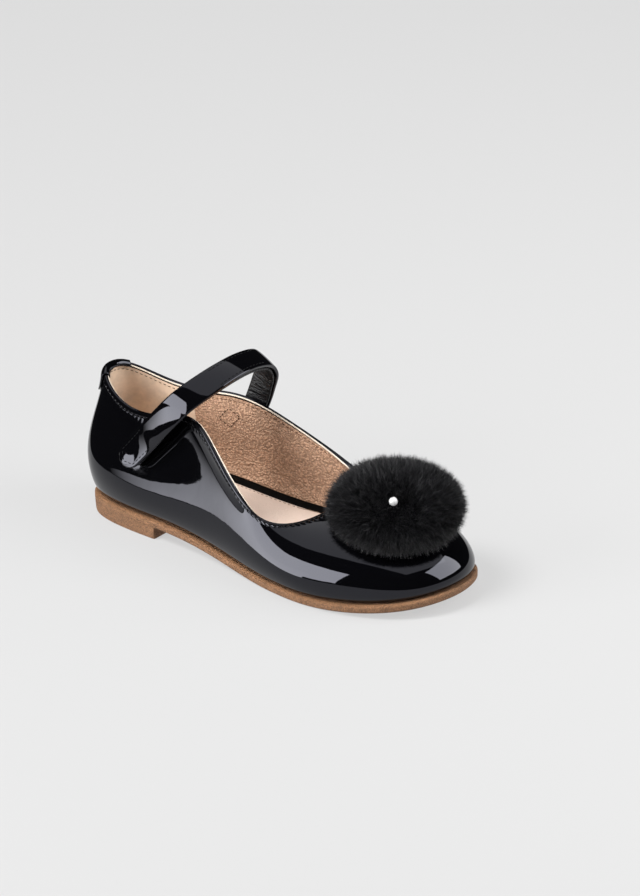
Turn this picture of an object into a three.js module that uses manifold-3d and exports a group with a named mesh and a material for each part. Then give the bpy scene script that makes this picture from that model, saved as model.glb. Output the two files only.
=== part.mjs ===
// Child's patent mary jane ballet flat for the right foot, with a fur pompom over the throat.
// Millimetres. The toe points to +X, the outer side of the foot is -Y, the inner side +Y, and the
// floor is Z = 0. The origin is under the middle of the shoe's box.

import * as THREE from "three";
import { mergeVertices } from "three/addons/utils/BufferGeometryUtils.js";
import Module from "manifold-3d";

// Driving dimensions: the last
const LENGTH = 185; // outsole, heel to toe
const BALL_WIDTH = 70; // outsole across the ball of the foot
const COLLAR_HEIGHT = 54; // back of the top line above the sole
const THROAT_HEIGHT = 27.5; // throat of the top line above the sole
const HEEL_LIFT = 5.4; // how far the heel raises the sole
const TOE_SPRING = 6.7;

// Sole and insole
const SOLE_THICKNESS = 3.5;
const SOLE_EDGE = 1.1; // sole beyond the upper at the feather line
const SOLE_ROUND = 0.7;
const HEEL_LENGTH = 44.6; // back of the heel to its breast
const ARCH_START = 0.24; // shares of the length from the heel
const ARCH_END = 0.6;
const SPRING_START = 0.68;
const INSOLE_THICKNESS = 3.6;
const INSOLE_ROUND = 0.7;
const INSOLE_GAP = 1; // round the insole, inside the wall

// Upper
const WALL = 2; // patent leather and lining
const MARGIN_WIDTH = 8; // leather turned in under the insole
const MARGIN_THICKNESS = 1.4;
const FAN = 0.75; // how far the walls fan out from the throat, in rows of the tables
const GAP = 0.3; // between pieces that touch

// Heel tab, folded over the back of the top line
const TAB_THICKNESS = 0.7;
const TAB_HALF_WIDTH = 10;
const TAB_OUTSIDE = 11;
const TAB_INSIDE = 0.5;
const TAB_TAPER = 0.85; // how far its lower edge rises towards its sides, squared

// Strap
const STRAP_WIDTH = 11.2;
const STRAP_THICKNESS = 2;
const STRAP_SOFT = 0.35; // rounding of the strap's edges
const LINING_INSET = 0.5;
const STRAP_LINING_THICKNESS = 1.6;
const STRAP_RISE = 22.3; // crown of the strap above the collar at the side
const STRAP_SLANT = 51; // degrees from level, of both ends on the walls
const OUTER_END_LENGTH = 32; // from the top line down the outer wall
const INNER_END_LENGTH = 23;
const OUTER_CROSSING = -0.2205; // where the strap crosses the top line, share of the length
const INNER_CROSSING = -0.15;
const PATCH_THICKNESS = 0.8;
const PATCH_WIDTH = 9;
const PATCH_LENGTH = 16;
const PATCH_PLACE = 4; // from the tip of the tab
const STRAP_LIFT = 2.6; // how much further the strap stands off where it leaves the outer wall

// Pompom and pearl
const POMPOM_RADIUS = 26.5;
const POMPOM_HEIGHT = 16.6; // half height of the ball
const POMPOM_PLACE = 0.324; // share of the length ahead of the middle
const POMPOM_LIFT = 8.5; // middle of the ball above the vamp
const POMPOM_CLEARANCE = 0.5;
const POMPOM_DETAIL = 9;
const LOCK_LENGTH = 3.6;
const LOCK_SHORTEST = 0.6; // share of the length
const LOCK_DROOP = 1.6;
const PEARL_RADIUS = 2.35;
const PEARL_TURN = -58; // degrees round from the toe
const PEARL_TILT = 27; // degrees up from level
const HOLLOW_FLAT = 3.6; // radius of the floor of the hollow
const HOLLOW_EDGE = 8;
const PEARL_HOLLOW = 3; // how deep the pearl is drawn into the fur
const PEARL_DETAIL = 2;
const SCATTER_STEP = 12.9898;
const SCATTER_SPREAD = 43758.5453;

// Mesh steps
const COLUMN_COUNT = 84;
const SOLE_ROW_COUNT = 5;

// Feather line, a row for each section round the last from the back, over the outer side to the
// toe and home over the inner side. x is a share of the length and y of the ball width. The wall
// that stands on it rises and flares at its foot; near the top line it reaches a share of the way
// to the feather line, leans out and drops. Rise and drop are shares of the collar height, flare
// and lean shares of the ball width.
const FEATHER = [
  { x: -0.509, y: 0.002, rise: 0.42, flare: 0.15, reach: 0.3, lean: 0.01, drop: 0.36 },
  { x: -0.482, y: -0.258, rise: 0.42, flare: 0.138, reach: 0.3, lean: 0.018, drop: 0.34 },
  { x: -0.357, y: -0.33, rise: 0.3, flare: 0.108, reach: 0.3, lean: 0, drop: 0.35 },
  { x: -0.227, y: -0.343, rise: 0.24, flare: 0.118, reach: 0.3, lean: -0.025, drop: 0.34 },
  { x: -0.084, y: -0.368, rise: 0.25, flare: 0.12, reach: 0.3, lean: -0.05, drop: 0.34 },
  { x: 0.058, y: -0.459, rise: 0.225, flare: 0.095, reach: 0.32, lean: -0.05, drop: 0.33 },
  { x: 0.188, y: -0.526, rise: 0.16, flare: 0.075, reach: 0.38, lean: 0.02, drop: 0.26 },
  { x: 0.317, y: -0.492, rise: 0.3, flare: 0.052, reach: 0.46, lean: 0.015, drop: 0.06 },
  { x: 0.455, y: -0.34, rise: 0.26, flare: 0.04, reach: 0.52, lean: 0, drop: -0.05 },
  { x: 0.517, y: 0.018, rise: 0.27, flare: 0.04, reach: 0.55, lean: 0, drop: -0.05 },
  { x: 0.473, y: 0.363, rise: 0.26, flare: 0.04, reach: 0.52, lean: 0, drop: -0.05 },
  { x: 0.343, y: 0.506, rise: 0.26, flare: 0.045, reach: 0.46, lean: 0.01, drop: 0.04 },
  { x: 0.195, y: 0.5, rise: 0.2, flare: 0.07, reach: 0.38, lean: 0.02, drop: 0.24 },
  { x: 0.058, y: 0.42, rise: 0.22, flare: 0.09, reach: 0.32, lean: -0.02, drop: 0.3 },
  { x: -0.079, y: 0.345, rise: 0.25, flare: 0.105, reach: 0.3, lean: -0.02, drop: 0.32 },
  { x: -0.226, y: 0.33, rise: 0.25, flare: 0.105, reach: 0.3, lean: -0.01, drop: 0.34 },
  { x: -0.363, y: 0.335, rise: 0.28, flare: 0.105, reach: 0.3, lean: 0, drop: 0.36 },
  { x: -0.48, y: 0.271, rise: 0.42, flare: 0.135, reach: 0.3, lean: 0.015, drop: 0.34 },
];

// Top line, in the same order. x is a share of the length and y of the ball width. Its height
// above the sole is the sum of a share of the collar height and a share of the throat height.
const TOP_LINE = [
  { x: -0.488, y: 0, collar: 0.993, throat: 0 },
  { x: -0.469, y: -0.156, collar: 0.982, throat: 0 },
  { x: -0.371, y: -0.253, collar: 0.802, throat: 0 },
  { x: -0.268, y: -0.245, collar: 0.812, throat: 0 },
  { x: -0.163, y: -0.266, collar: 0.982, throat: 0 },
  { x: -0.089, y: -0.352, collar: 0.557, throat: 0.54 },
  { x: -0.007, y: -0.4, collar: 0.2, throat: 0.726 },
  { x: 0.081, y: -0.412, collar: 0, throat: 0.82 },
  { x: 0.151, y: -0.267, collar: 0, throat: 0.875 },
  { x: 0.183, y: 0.003, collar: 0, throat: 1.027 },
  { x: 0.169, y: 0.273, collar: 0, throat: 1.041 },
  { x: 0.112, y: 0.4, collar: 0, throat: 1.091 },
  { x: 0.021, y: 0.41, collar: 0.2, throat: 0.871 },
  { x: -0.077, y: 0.37, collar: 0.5, throat: 0.495 },
  { x: -0.181, y: 0.314, collar: 0.87, throat: 0 },
  { x: -0.288, y: 0.286, collar: 0.792, throat: 0 },
  { x: -0.388, y: 0.271, collar: 0.806, throat: 0 },
  { x: -0.474, y: 0.151, collar: 0.967, throat: 0 },
];

// Crown of the strap between its two ends, for its outer face. x is a share of the length, y of
// the ball width, rise of the strap's rise above the collar, and tilt turns the strap's width from
// level towards the toe, in degrees.
const STRAP_CROWN = [
  { x: -0.177, y: -0.342, rise: 0.457, tilt: 32 },
  { x: -0.148, y: -0.219, rise: 0.736, tilt: 27 },
  { x: -0.13, y: -0.03, rise: 0.917, tilt: 20 },
  { x: -0.127, y: 0.16, rise: 0.926, tilt: 20 },
  { x: -0.13, y: 0.345, rise: 0.759, tilt: 29 },
  { x: -0.138, y: 0.415, rise: 0.476, tilt: 36 },
  { x: -0.152, y: 0.42, rise: 0.16, tilt: 40 },
];

const ROWS = FEATHER.length;

// Splines through the tables

function splineWeights(t) {
  const s = 1 - t;
  return [s ** 3 / 6, (3 * t ** 3 - 6 * t ** 2 + 4) / 6, (3 * s ** 3 - 6 * s ** 2 + 4) / 6, t ** 3 / 6];
}

function closedSpline(rows, column, u) {
  const first = Math.floor(u) - 1;
  const weights = splineWeights(u - Math.floor(u));
  let sum = 0;
  for (let k = 0; k < 4; k += 1) {
    const row = rows[(((first + k) % rows.length) + rows.length) % rows.length];
    sum += weights[k] * row[column];
  }
  return sum;
}

// Heights of the sole

function soleBottom(x) {
  const share = x / LENGTH + 0.5;
  const arch = THREE.MathUtils.smoothstep(share, ARCH_START, ARCH_END);
  const toe = Math.max(0, (share - SPRING_START) / (1 - SPRING_START));
  return HEEL_LIFT * (1 - arch) + TOE_SPRING * toe ** 2;
}

function soleTop(x) {
  return soleBottom(x) + SOLE_THICKNESS;
}

// Outline of the sole in plan, and its outward direction

function outline(u) {
  const x = closedSpline(FEATHER, "x", u) * LENGTH;
  const y = closedSpline(FEATHER, "y", u) * BALL_WIDTH;
  return new THREE.Vector2(x, y);
}

function outward(u) {
  const step = 0.01;
  const along = outline(u + step).sub(outline(u - step)).normalize();
  return new THREE.Vector2(along.y, -along.x);
}

function insetOutline(u, inset) {
  return outline(u).addScaledVector(outward(u), -inset);
}

// Outer face of the upper: u runs round the last and v from the feather line up to the top line

function topLine(u) {
  const turned = u + FAN * Math.sin((Math.PI * u) / (ROWS / 2)) * Math.abs(Math.sin((Math.PI * u) / ROWS));
  const x = closedSpline(TOP_LINE, "x", turned) * LENGTH;
  const y = closedSpline(TOP_LINE, "y", turned) * BALL_WIDTH;
  const collar = closedSpline(TOP_LINE, "collar", turned) * COLLAR_HEIGHT;
  const throat = closedSpline(TOP_LINE, "throat", turned) * THROAT_HEIGHT;
  return new THREE.Vector3(x, y, soleTop(x) + collar + throat);
}

function wallPoint(u, v) {
  const column = (name) => closedSpline(FEATHER, name, u);
  const out = outward(u);
  const foot = insetOutline(u, SOLE_EDGE);
  const top = topLine(u);
  const low = new THREE.Vector3(foot.x, foot.y, soleTop(foot.x) + GAP);
  const flare = column("flare") * BALL_WIDTH;
  const lowHandle = new THREE.Vector3(
    low.x + out.x * flare,
    low.y + out.y * flare,
    low.z + column("rise") * COLLAR_HEIGHT
  );
  const reach = column("reach");
  const lean = column("lean") * BALL_WIDTH;
  const topHandle = new THREE.Vector3(
    THREE.MathUtils.lerp(top.x, low.x, reach) + out.x * lean,
    THREE.MathUtils.lerp(top.y, low.y, reach) + out.y * lean,
    top.z - column("drop") * COLLAR_HEIGHT
  );
  return new THREE.CubicBezierCurve3(low, lowHandle, topHandle, top).getPoint(v);
}

function wallUp(u, v) {
  const step = 0.01;
  return wallPoint(u, Math.min(1, v + step)).sub(wallPoint(u, Math.max(0, v - step))).normalize();
}

function wallNormal(u, v) {
  const step = 0.02;
  const round = wallPoint(u + step, v).sub(wallPoint(u - step, v));
  return round.cross(wallUp(u, v)).normalize();
}

// The point at a depth inside the wall, or outside it where the depth is negative
function wallDepth(u, v, depth) {
  return wallPoint(u, v).addScaledVector(wallNormal(u, v), -depth);
}

// Finds u and v where two coordinates of the wall have the given values
function findOnWall(axes, target, start) {
  let { u, v } = start;
  const step = 0.001;
  for (let round = 0; round < 12; round += 1) {
    const here = wallPoint(u, v);
    const du = wallPoint(u + step, v).sub(here).divideScalar(step);
    const dv = wallPoint(u, v + step).sub(here).divideScalar(step);
    const [a, b] = axes;
    const missA = target[0] - here[a];
    const missB = target[1] - here[b];
    const det = du[a] * dv[b] - du[b] * dv[a];
    u += (missA * dv[b] - missB * dv[a]) / det;
    v += (du[a] * missB - du[b] * missA) / det;
  }
  return { u, v };
}

// Solids from rings of points

function geometryOf(points, faces) {
  const geometry = new THREE.BufferGeometry();
  geometry.setAttribute("position", new THREE.Float32BufferAttribute(points.flatMap((p) => p.toArray()), 3));
  geometry.setIndex(signedVolume(points, faces) < 0 ? faces.map(([a, b, c]) => [a, c, b]).flat() : faces.flat());
  return geometry;
}

function signedVolume(points, faces) {
  let sum = 0;
  for (const [a, b, c] of faces) {
    sum += points[a].dot(new THREE.Vector3().crossVectors(points[b], points[c]));
  }
  return sum / 6;
}

// Joins ring to ring; each ring is a closed loop with as many points as the others. Each quad is
// cut along its shorter diagonal, so that two layers that bend together are cut alike.
function bridge(rings, closed) {
  const points = rings.flat();
  const size = rings[0].length;
  const faces = [];
  const last = closed ? rings.length : rings.length - 1;
  for (let i = 0; i < last; i += 1) {
    for (let k = 0; k < size; k += 1) {
      const a = i * size + k;
      const b = i * size + ((k + 1) % size);
      const c = ((i + 1) % rings.length) * size + k;
      const d = ((i + 1) % rings.length) * size + ((k + 1) % size);
      const isShort = points[a].distanceToSquared(points[d]) <= points[b].distanceToSquared(points[c]);
      faces.push(...(isShort ? [[a, b, d], [a, d, c]] : [[a, b, c], [b, d, c]]));
    }
  }
  return { points, faces };
}

function ringSolid(rings) {
  const { points, faces } = bridge(rings, true);
  return geometryOf(points, faces);
}

// A slab in the outline of the shoe: rings go round its edge from the bottom face to the top
// face, and both faces are filled with rows of points from the outer to the inner side
function slabSolid(levels, bottomHeight, topHeight) {
  const rings = levels.map(({ inset, height }) => {
    const ring = [];
    for (let k = 0; k < COLUMN_COUNT; k += 1) {
      const flat = insetOutline((k / COLUMN_COUNT) * ROWS, inset);
      ring.push(new THREE.Vector3(flat.x, flat.y, height(flat.x)));
    }
    return ring;
  });
  const { points, faces } = bridge(rings, false);
  fillFace(points, faces, 0, bottomHeight, true);
  fillFace(points, faces, (rings.length - 1) * COLUMN_COUNT, topHeight, false);
  return geometryOf(points, faces);
}

function fillFace(points, faces, start, height, flip) {
  const half = COLUMN_COUNT / 2;
  const add = (a, b, c) => faces.push(flip ? [a, c, b] : [a, b, c]);
  let previous = new Array(SOLE_ROW_COUNT + 1).fill(start);
  for (let k = 1; k <= half; k += 1) {
    const from = points[start + k];
    const to = points[start + ((COLUMN_COUNT - k) % COLUMN_COUNT)];
    const row = [start + k];
    for (let j = 1; j < SOLE_ROW_COUNT; j += 1) {
      if (k === half) {
        row.push(start + half);
        continue;
      }
      const inner = new THREE.Vector3().lerpVectors(from, to, j / SOLE_ROW_COUNT);
      inner.z = height(inner.x);
      row.push(points.length);
      points.push(inner);
    }
    row.push(k === half ? start + half : start + COLUMN_COUNT - k);
    for (let j = 0; j < SOLE_ROW_COUNT; j += 1) {
      if (previous[j] !== previous[j + 1]) add(previous[j], row[j + 1], previous[j + 1]);
      if (row[j] !== row[j + 1]) add(previous[j], row[j], row[j + 1]);
    }
    previous = row;
  }
}

// Joins and cuts

const wasm = await Module();
wasm.setup();

function solidOf(geometry) {
  const bare = geometry.clone();
  bare.deleteAttribute("normal");
  bare.deleteAttribute("uv");
  const merged = mergeVertices(bare, 1e-4);
  return new wasm.Manifold(
    new wasm.Mesh({
      numProp: 3,
      vertProperties: new Float32Array(merged.attributes.position.array),
      triVerts: new Uint32Array(merged.index.array),
    })
  );
}

function geometryFrom(solid) {
  const mesh = solid.getMesh();
  const geometry = new THREE.BufferGeometry();
  geometry.setAttribute("position", new THREE.BufferAttribute(new Float32Array(mesh.vertProperties), 3));
  geometry.setIndex(new THREE.BufferAttribute(new Uint32Array(mesh.triVerts), 1));
  return geometry;
}

// Outsole: the sheet of the sole with the heel moulded on

function outsoleGeometry() {
  const sheet = slabSolid(
    [
      { inset: SOLE_ROUND, height: soleBottom },
      { inset: 0, height: (x) => soleBottom(x) + SOLE_ROUND },
      { inset: 0, height: (x) => soleTop(x) - SOLE_ROUND },
      { inset: SOLE_ROUND, height: soleTop },
    ],
    soleBottom,
    soleTop
  );
  const overlap = SOLE_THICKNESS / 2;
  const heelTop = (x) => soleBottom(x) + overlap;
  const heelFoot = slabSolid(
    [
      { inset: SOLE_ROUND, height: () => 0 },
      { inset: SOLE_ROUND / 2, height: () => SOLE_ROUND },
      { inset: 0, height: heelTop },
    ],
    () => 0,
    heelTop
  );
  const block = new THREE.BoxGeometry(HEEL_LENGTH, 2 * BALL_WIDTH, 2 * COLLAR_HEIGHT);
  block.translate((HEEL_LENGTH - LENGTH) / 2, 0, 0);
  const heel = solidOf(heelFoot).intersect(solidOf(block));
  return geometryFrom(solidOf(sheet).add(heel));
}

// Insole: the sock that lies inside on the turned-in margin

function insoleGeometry() {
  const under = (x) => soleTop(x) + 2 * GAP + MARGIN_THICKNESS;
  const over = (x) => under(x) + INSOLE_THICKNESS;
  const inset = SOLE_EDGE + WALL + INSOLE_GAP;
  return slabSolid(
    [
      { inset: inset + INSOLE_ROUND, height: under },
      { inset, height: (x) => under(x) + INSOLE_ROUND },
      { inset, height: (x) => over(x) - INSOLE_ROUND },
      { inset: inset + INSOLE_ROUND, height: over },
    ],
    under,
    over
  );
}

// Upper: one hollow shell, each column a closed loop over the wall, the rim and the margin

const OUTER_STEPS = 11;
const INNER_STEPS = 7;
const RIM_STEPS = 3;
const INNER_FOOT = 0.13; // share of the wall where its inner face meets the margin

function upperColumn(u) {
  const loop = [];
  for (let k = 0; k <= OUTER_STEPS; k += 1) {
    loop.push(wallPoint(u, k / OUTER_STEPS));
  }
  const normal = wallNormal(u, 1);
  const up = wallUp(u, 1);
  const middle = wallDepth(u, 1, WALL / 2);
  for (let k = 1; k <= RIM_STEPS; k += 1) {
    const turn = (Math.PI * k) / (RIM_STEPS + 1);
    const rim = middle.clone().addScaledVector(normal, (Math.cos(turn) * WALL) / 2);
    loop.push(rim.addScaledVector(up, (Math.sin(turn) * WALL) / 2));
  }
  for (let k = INNER_STEPS; k >= 0; k -= 1) {
    const v = THREE.MathUtils.lerp(INNER_FOOT, 1, k / INNER_STEPS);
    loop.push(wallDepth(u, v, WALL));
  }
  const marginAt = (inset, thickness) => {
    const flat = insetOutline(u, SOLE_EDGE + inset);
    return new THREE.Vector3(flat.x, flat.y, soleTop(flat.x) + GAP + thickness);
  };
  loop.push(marginAt(WALL, MARGIN_THICKNESS));
  loop.push(marginAt(MARGIN_WIDTH, MARGIN_THICKNESS));
  loop.push(marginAt(MARGIN_WIDTH, 0));
  return loop;
}

function upperGeometry() {
  const rings = [];
  for (let k = 0; k < COLUMN_COUNT; k += 1) {
    rings.push(upperColumn((k / COLUMN_COUNT) * ROWS));
  }
  return ringSolid(rings);
}

// Heel tab: a band folded over the rim at the back seam

const TAB_COLUMNS = 10;
const TAB_STEPS = 5;
const TAB_INNER_STEPS = 2;

// Share of the wall's height that lies below a place this far down from the top line
function shareBelowTop(u, distance) {
  const halfHeight = wallPoint(u, 1).distanceTo(wallPoint(u, 0.5));
  return 1 - distance / (2 * halfHeight);
}

function tabColumn(u, across) {
  const taper = Math.sqrt(1 - TAB_TAPER * across ** 2);
  const outsideFoot = shareBelowTop(u, TAB_OUTSIDE * taper);
  const insideFoot = shareBelowTop(u, TAB_INSIDE);
  const near = [];
  const far = [];
  const layer = (list, lift) => {
    for (let k = 0; k <= TAB_STEPS; k += 1) {
      list.push(wallDepth(u, THREE.MathUtils.lerp(outsideFoot, 1, k / TAB_STEPS), -lift));
    }
    const middle = wallDepth(u, 1, WALL / 2);
    const reach = WALL / 2 + lift;
    for (let k = 1; k <= RIM_STEPS; k += 1) {
      const turn = (Math.PI * k) / (RIM_STEPS + 1);
      const rim = middle.clone().addScaledVector(wallNormal(u, 1), Math.cos(turn) * reach);
      list.push(rim.addScaledVector(wallUp(u, 1), Math.sin(turn) * reach));
    }
    for (let k = TAB_INNER_STEPS; k >= 0; k -= 1) {
      const v = THREE.MathUtils.lerp(insideFoot, 1, k / TAB_INNER_STEPS);
      list.push(wallDepth(u, v, WALL + lift));
    }
  };
  layer(near, GAP);
  layer(far, GAP + TAB_THICKNESS);
  return far.concat(near.reverse());
}

function heelTabGeometry() {
  const back = topLine(0);
  const oneRow = back.distanceTo(topLine(0.5)) * 2;
  const reach = TAB_HALF_WIDTH / oneRow;
  const rings = [];
  for (let k = 0; k <= TAB_COLUMNS; k += 1) {
    const across = (2 * k) / TAB_COLUMNS - 1;
    rings.push(tabColumn(across * reach, across));
  }
  return cappedStrip(rings);
}

// A row of sections that are bent strips, with a ladder of quads over each end
function cappedStrip(rings) {
  const { points, faces } = bridge(rings, false);
  const size = rings[0].length;
  for (const [start, flip] of [[0, false], [(rings.length - 1) * size, true]]) {
    for (let k = 0; k < size / 2 - 1; k += 1) {
      const a = start + k;
      const b = start + k + 1;
      const c = start + size - 2 - k;
      const d = start + size - 1 - k;
      faces.push(...(flip ? [[a, b, c], [a, c, d]] : [[a, c, b], [a, d, c]]));
    }
  }
  return geometryOf(points, faces);
}

// Strap: a band from the tab on the outer wall, over the foot, to its sewn end on the inner wall

const SIDES = {
  outer: { start: { u: 3.2, v: 0.7 }, crossing: OUTER_CROSSING, length: OUTER_END_LENGTH },
  inner: { start: { u: 14.6, v: 0.7 }, crossing: INNER_CROSSING, length: INNER_END_LENGTH },
};
const STRAP_STEPS = 38;
const END_ANGLES = [20, 40, 60, 78]; // degrees round an end of the strap, from its tip
const PATCH_STEPS = 5;
const STRAP_STACK = STRAP_THICKNESS + STRAP_LINING_THICKNESS + GAP;
const CLOSURE_STACK = 2 * PATCH_THICKNESS + 2 * GAP;

function collarCrossing(side) {
  const x = side.crossing * LENGTH;
  let { u } = side.start;
  for (let round = 0; round < 20; round += 1) {
    const slope = (topLine(u + 0.01).x - topLine(u - 0.01).x) / 0.02;
    u += (x - topLine(u).x) / slope;
  }
  return topLine(u);
}

// Where the middle of the strap lies on a wall, so far down from the top line
function endPoint(side, distance) {
  const slant = THREE.MathUtils.degToRad(STRAP_SLANT);
  const cross = collarCrossing(side);
  const x = cross.x - Math.cos(slant) * distance;
  const z = cross.z - Math.sin(slant) * distance;
  const place = findOnWall(["x", "z"], [x, z], side.start);
  return { place, normal: wallNormal(place.u, place.v) };
}

// The strap's width from heel to toe, turned down towards the toe by a tilt in degrees
function tiltedWidth(tilt) {
  const turn = THREE.MathUtils.degToRad(tilt);
  return new THREE.Vector3(Math.cos(turn), 0, -Math.sin(turn));
}

function strapRoute() {
  const rows = [];
  const addEnd = (side, share, stack, lift) => {
    const { place, normal } = endPoint(side, side.length * share);
    const point = wallPoint(place.u, place.v).addScaledVector(normal, GAP + stack);
    point.y -= lift;
    const width = tiltedWidth(90 - STRAP_SLANT);
    width.addScaledVector(normal, -width.dot(normal) * (1 - lift / STRAP_LIFT)).normalize();
    rows.push({ point, width });
  };
  for (const share of [1, 0.75, 0.5, 0.25]) {
    const lift = STRAP_LIFT * (1 - THREE.MathUtils.smoothstep(share, 0, 0.8));
    addEnd(SIDES.outer, share, CLOSURE_STACK + STRAP_STACK, lift);
  }
  const side = collarCrossing(SIDES.outer).z;
  for (const row of STRAP_CROWN) {
    const point = new THREE.Vector3(row.x * LENGTH, row.y * BALL_WIDTH, side + row.rise * STRAP_RISE);
    rows.push({ point, width: tiltedWidth(row.tilt) });
  }
  for (const share of [0.25, 0.5, 0.75, 1]) {
    addEnd(SIDES.inner, share, STRAP_STACK, 0);
  }
  return rows;
}

const ROUTE = strapRoute();
const ROUTE_CURVE = new THREE.CatmullRomCurve3(ROUTE.map((row) => row.point), false, "centripetal");

// Frame of the strap: its middle, its width from heel to toe, and the way out of its outer face
function strapFrame(share) {
  const t = ROUTE_CURVE.getUtoTmapping(share, 0);
  const point = ROUTE_CURVE.getPoint(t);
  const along = ROUTE_CURVE.getTangent(t);
  const place = t * (ROUTE.length - 1);
  const row = Math.min(Math.floor(place), ROUTE.length - 2);
  const width = new THREE.Vector3().lerpVectors(ROUTE[row].width, ROUTE[row + 1].width, place - row);
  width.addScaledVector(along, -width.dot(along)).normalize();
  const out = new THREE.Vector3().crossVectors(along, width).negate().normalize();
  return { point, width, out };
}

// Section of a band: side from -1 to 1 across it, and its outer or inner face. Sides between the
// two edges count on the strap's own width, so that all its layers bend alike.
const BAND_SECTION = [
  [-1, -1],
  [-1, 1],
  [-0.55, 1],
  [0.55, 1],
  [1, 1],
  [1, -1],
  [0.55, -1],
  [-0.55, -1],
];

// A band along the strap, given by stations, between two depths under its outer face. Each station
// has its share of the way along the strap and its share of the band's half width.
function bandGeometry({ stations, half, top, bottom, soft }) {
  const middle = (top + bottom) / 2;
  const rings = stations.map(({ share, spread }) => {
    const { point, width, out } = strapFrame(share);
    return BAND_SECTION.map(([side, face]) => {
      const isEdge = Math.abs(side) === 1;
      const across = spread * side * (isEdge ? half : STRAP_WIDTH / 2);
      const edge = isEdge ? soft : 0;
      const depth = face > 0 ? Math.min(middle, top + edge) : Math.max(middle, bottom - edge);
      return point.clone().addScaledVector(width, across).addScaledVector(out, -depth);
    });
  });
  return bandSolid(rings);
}

// Quads over the end of a band, by the places of their corners in the section
const BAND_END = [
  [1, 2, 7, 0],
  [2, 3, 6, 7],
  [3, 4, 5, 6],
];

function bandSolid(rings) {
  const { points, faces } = bridge(rings, false);
  const size = rings[0].length;
  for (const [start, flip] of [[0, false], [(rings.length - 1) * size, true]]) {
    for (const [a, b, c, d] of BAND_END) {
      const corners = [start + a, start + b, start + c, start + d];
      const [p, q, r, s] = flip ? corners : corners.reverse();
      faces.push([p, q, r], [p, r, s]);
    }
  }
  return geometryOf(points, faces);
}

// Stations along the strap, closer together round its two ends. The lining's ends lie inset, and
// its other stations are the strap's own.
function strapStations(inset) {
  const length = ROUTE_CURVE.getLength();
  const reach = STRAP_WIDTH / 2 / length;
  const round = END_ANGLES.map((angle) => {
    const turn = THREE.MathUtils.degToRad(angle);
    const back = THREE.MathUtils.lerp(inset / length, reach, 1 - Math.cos(turn));
    return { back, spread: Math.sin(turn) };
  });
  const stations = round.map(({ back, spread }) => ({ share: back, spread }));
  for (let k = 0; k <= STRAP_STEPS; k += 1) {
    stations.push({ share: THREE.MathUtils.lerp(reach, 1 - reach, k / STRAP_STEPS), spread: 1 });
  }
  for (const { back, spread } of round.reverse()) {
    stations.push({ share: 1 - back, spread });
  }
  return stations;
}

function strapGeometry() {
  return bandGeometry({
    stations: strapStations(0),
    half: STRAP_WIDTH / 2,
    top: 0,
    bottom: STRAP_THICKNESS,
    soft: STRAP_SOFT,
  });
}

function strapLiningGeometry() {
  return bandGeometry({
    stations: strapStations(LINING_INSET),
    half: STRAP_WIDTH / 2 - LINING_INSET,
    top: STRAP_THICKNESS + GAP,
    bottom: STRAP_STACK,
    soft: STRAP_SOFT,
  });
}

// Hook-and-loop closure: the loop patch is sewn on the wall and the hook patch under the tab

function patchStations() {
  const length = ROUTE_CURVE.getLength();
  const stations = [];
  for (let k = 0; k <= PATCH_STEPS; k += 1) {
    const distance = PATCH_PLACE + (PATCH_LENGTH * k) / PATCH_STEPS;
    stations.push({ share: distance / length, spread: 1 });
  }
  return stations;
}

function hookPatchGeometry() {
  const top = STRAP_STACK + GAP;
  const bottom = top + PATCH_THICKNESS;
  return bandGeometry({ stations: patchStations(), half: PATCH_WIDTH / 2, top, bottom, soft: 0 });
}

function loopPatchGeometry() {
  const rings = patchStations().map(({ share }) => {
    const { point, width } = strapFrame(share);
    return BAND_SECTION.map(([side, face]) => {
      const isEdge = Math.abs(side) === 1;
      const across = (side * (isEdge ? PATCH_WIDTH : STRAP_WIDTH)) / 2;
      const over = point.clone().addScaledVector(width, across);
      const { u, v } = findOnWall(["x", "z"], [over.x, over.z], SIDES.outer.start);
      return wallDepth(u, v, face > 0 ? -GAP - PATCH_THICKNESS : -GAP);
    });
  });
  return bandSolid(rings);
}

// Pompom: a ball of fur that lies on the vamp, with its locks drawn out of it

const RIM_START = 0.9; // share of the wall's height where its rim begins to rise over the face
const VAMP_STARTS = [];
for (let u = ROWS / 4; u <= (3 * ROWS) / 4; u += 0.25) {
  for (let v = 0.1; v <= 1; v += 0.1) {
    VAMP_STARTS.push({ u, v, point: wallPoint(u, v) });
  }
}

// Height of the vamp's outer face over a place on the floor, or of its rim beside the opening.
// Beyond the sides of the vamp nothing holds the fur up, and the height is that of the floor.
function vampHeight(x, y) {
  const miss = (point) => Math.hypot(point.x - x, point.y - y);
  const nearest = (best, other) => (miss(other.point) < miss(best.point) ? other : best);
  const { u, v } = findOnWall(["x", "y"], [x, y], VAMP_STARTS.reduce(nearest));
  const found = wallPoint(u, Math.min(v, 1));
  const isBeside = !(v > 0) || (v < 1 && miss(found) > GAP);
  return isBeside ? 0 : found.z + WALL * THREE.MathUtils.smoothstep(v, RIM_START, 1);
}

// Scattered values from 0 to 1, always the same for the same index
function scatter(index) {
  const value = Math.sin(index * SCATTER_STEP) * SCATTER_SPREAD;
  return value - Math.floor(value);
}

function neighboursOf(indices, count) {
  const neighbours = Array.from({ length: count }, () => new Set());
  for (let k = 0; k < indices.length; k += 3) {
    const corners = [indices[k], indices[k + 1], indices[k + 2]];
    for (const a of corners) {
      for (const b of corners) {
        if (a !== b) neighbours[a].add(b);
      }
    }
  }
  return neighbours;
}

const POMPOM_MIDDLE = new THREE.Vector3(POMPOM_PLACE * LENGTH, 0, 0);
POMPOM_MIDDLE.z = vampHeight(POMPOM_MIDDLE.x, 0) + POMPOM_LIFT;

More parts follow.
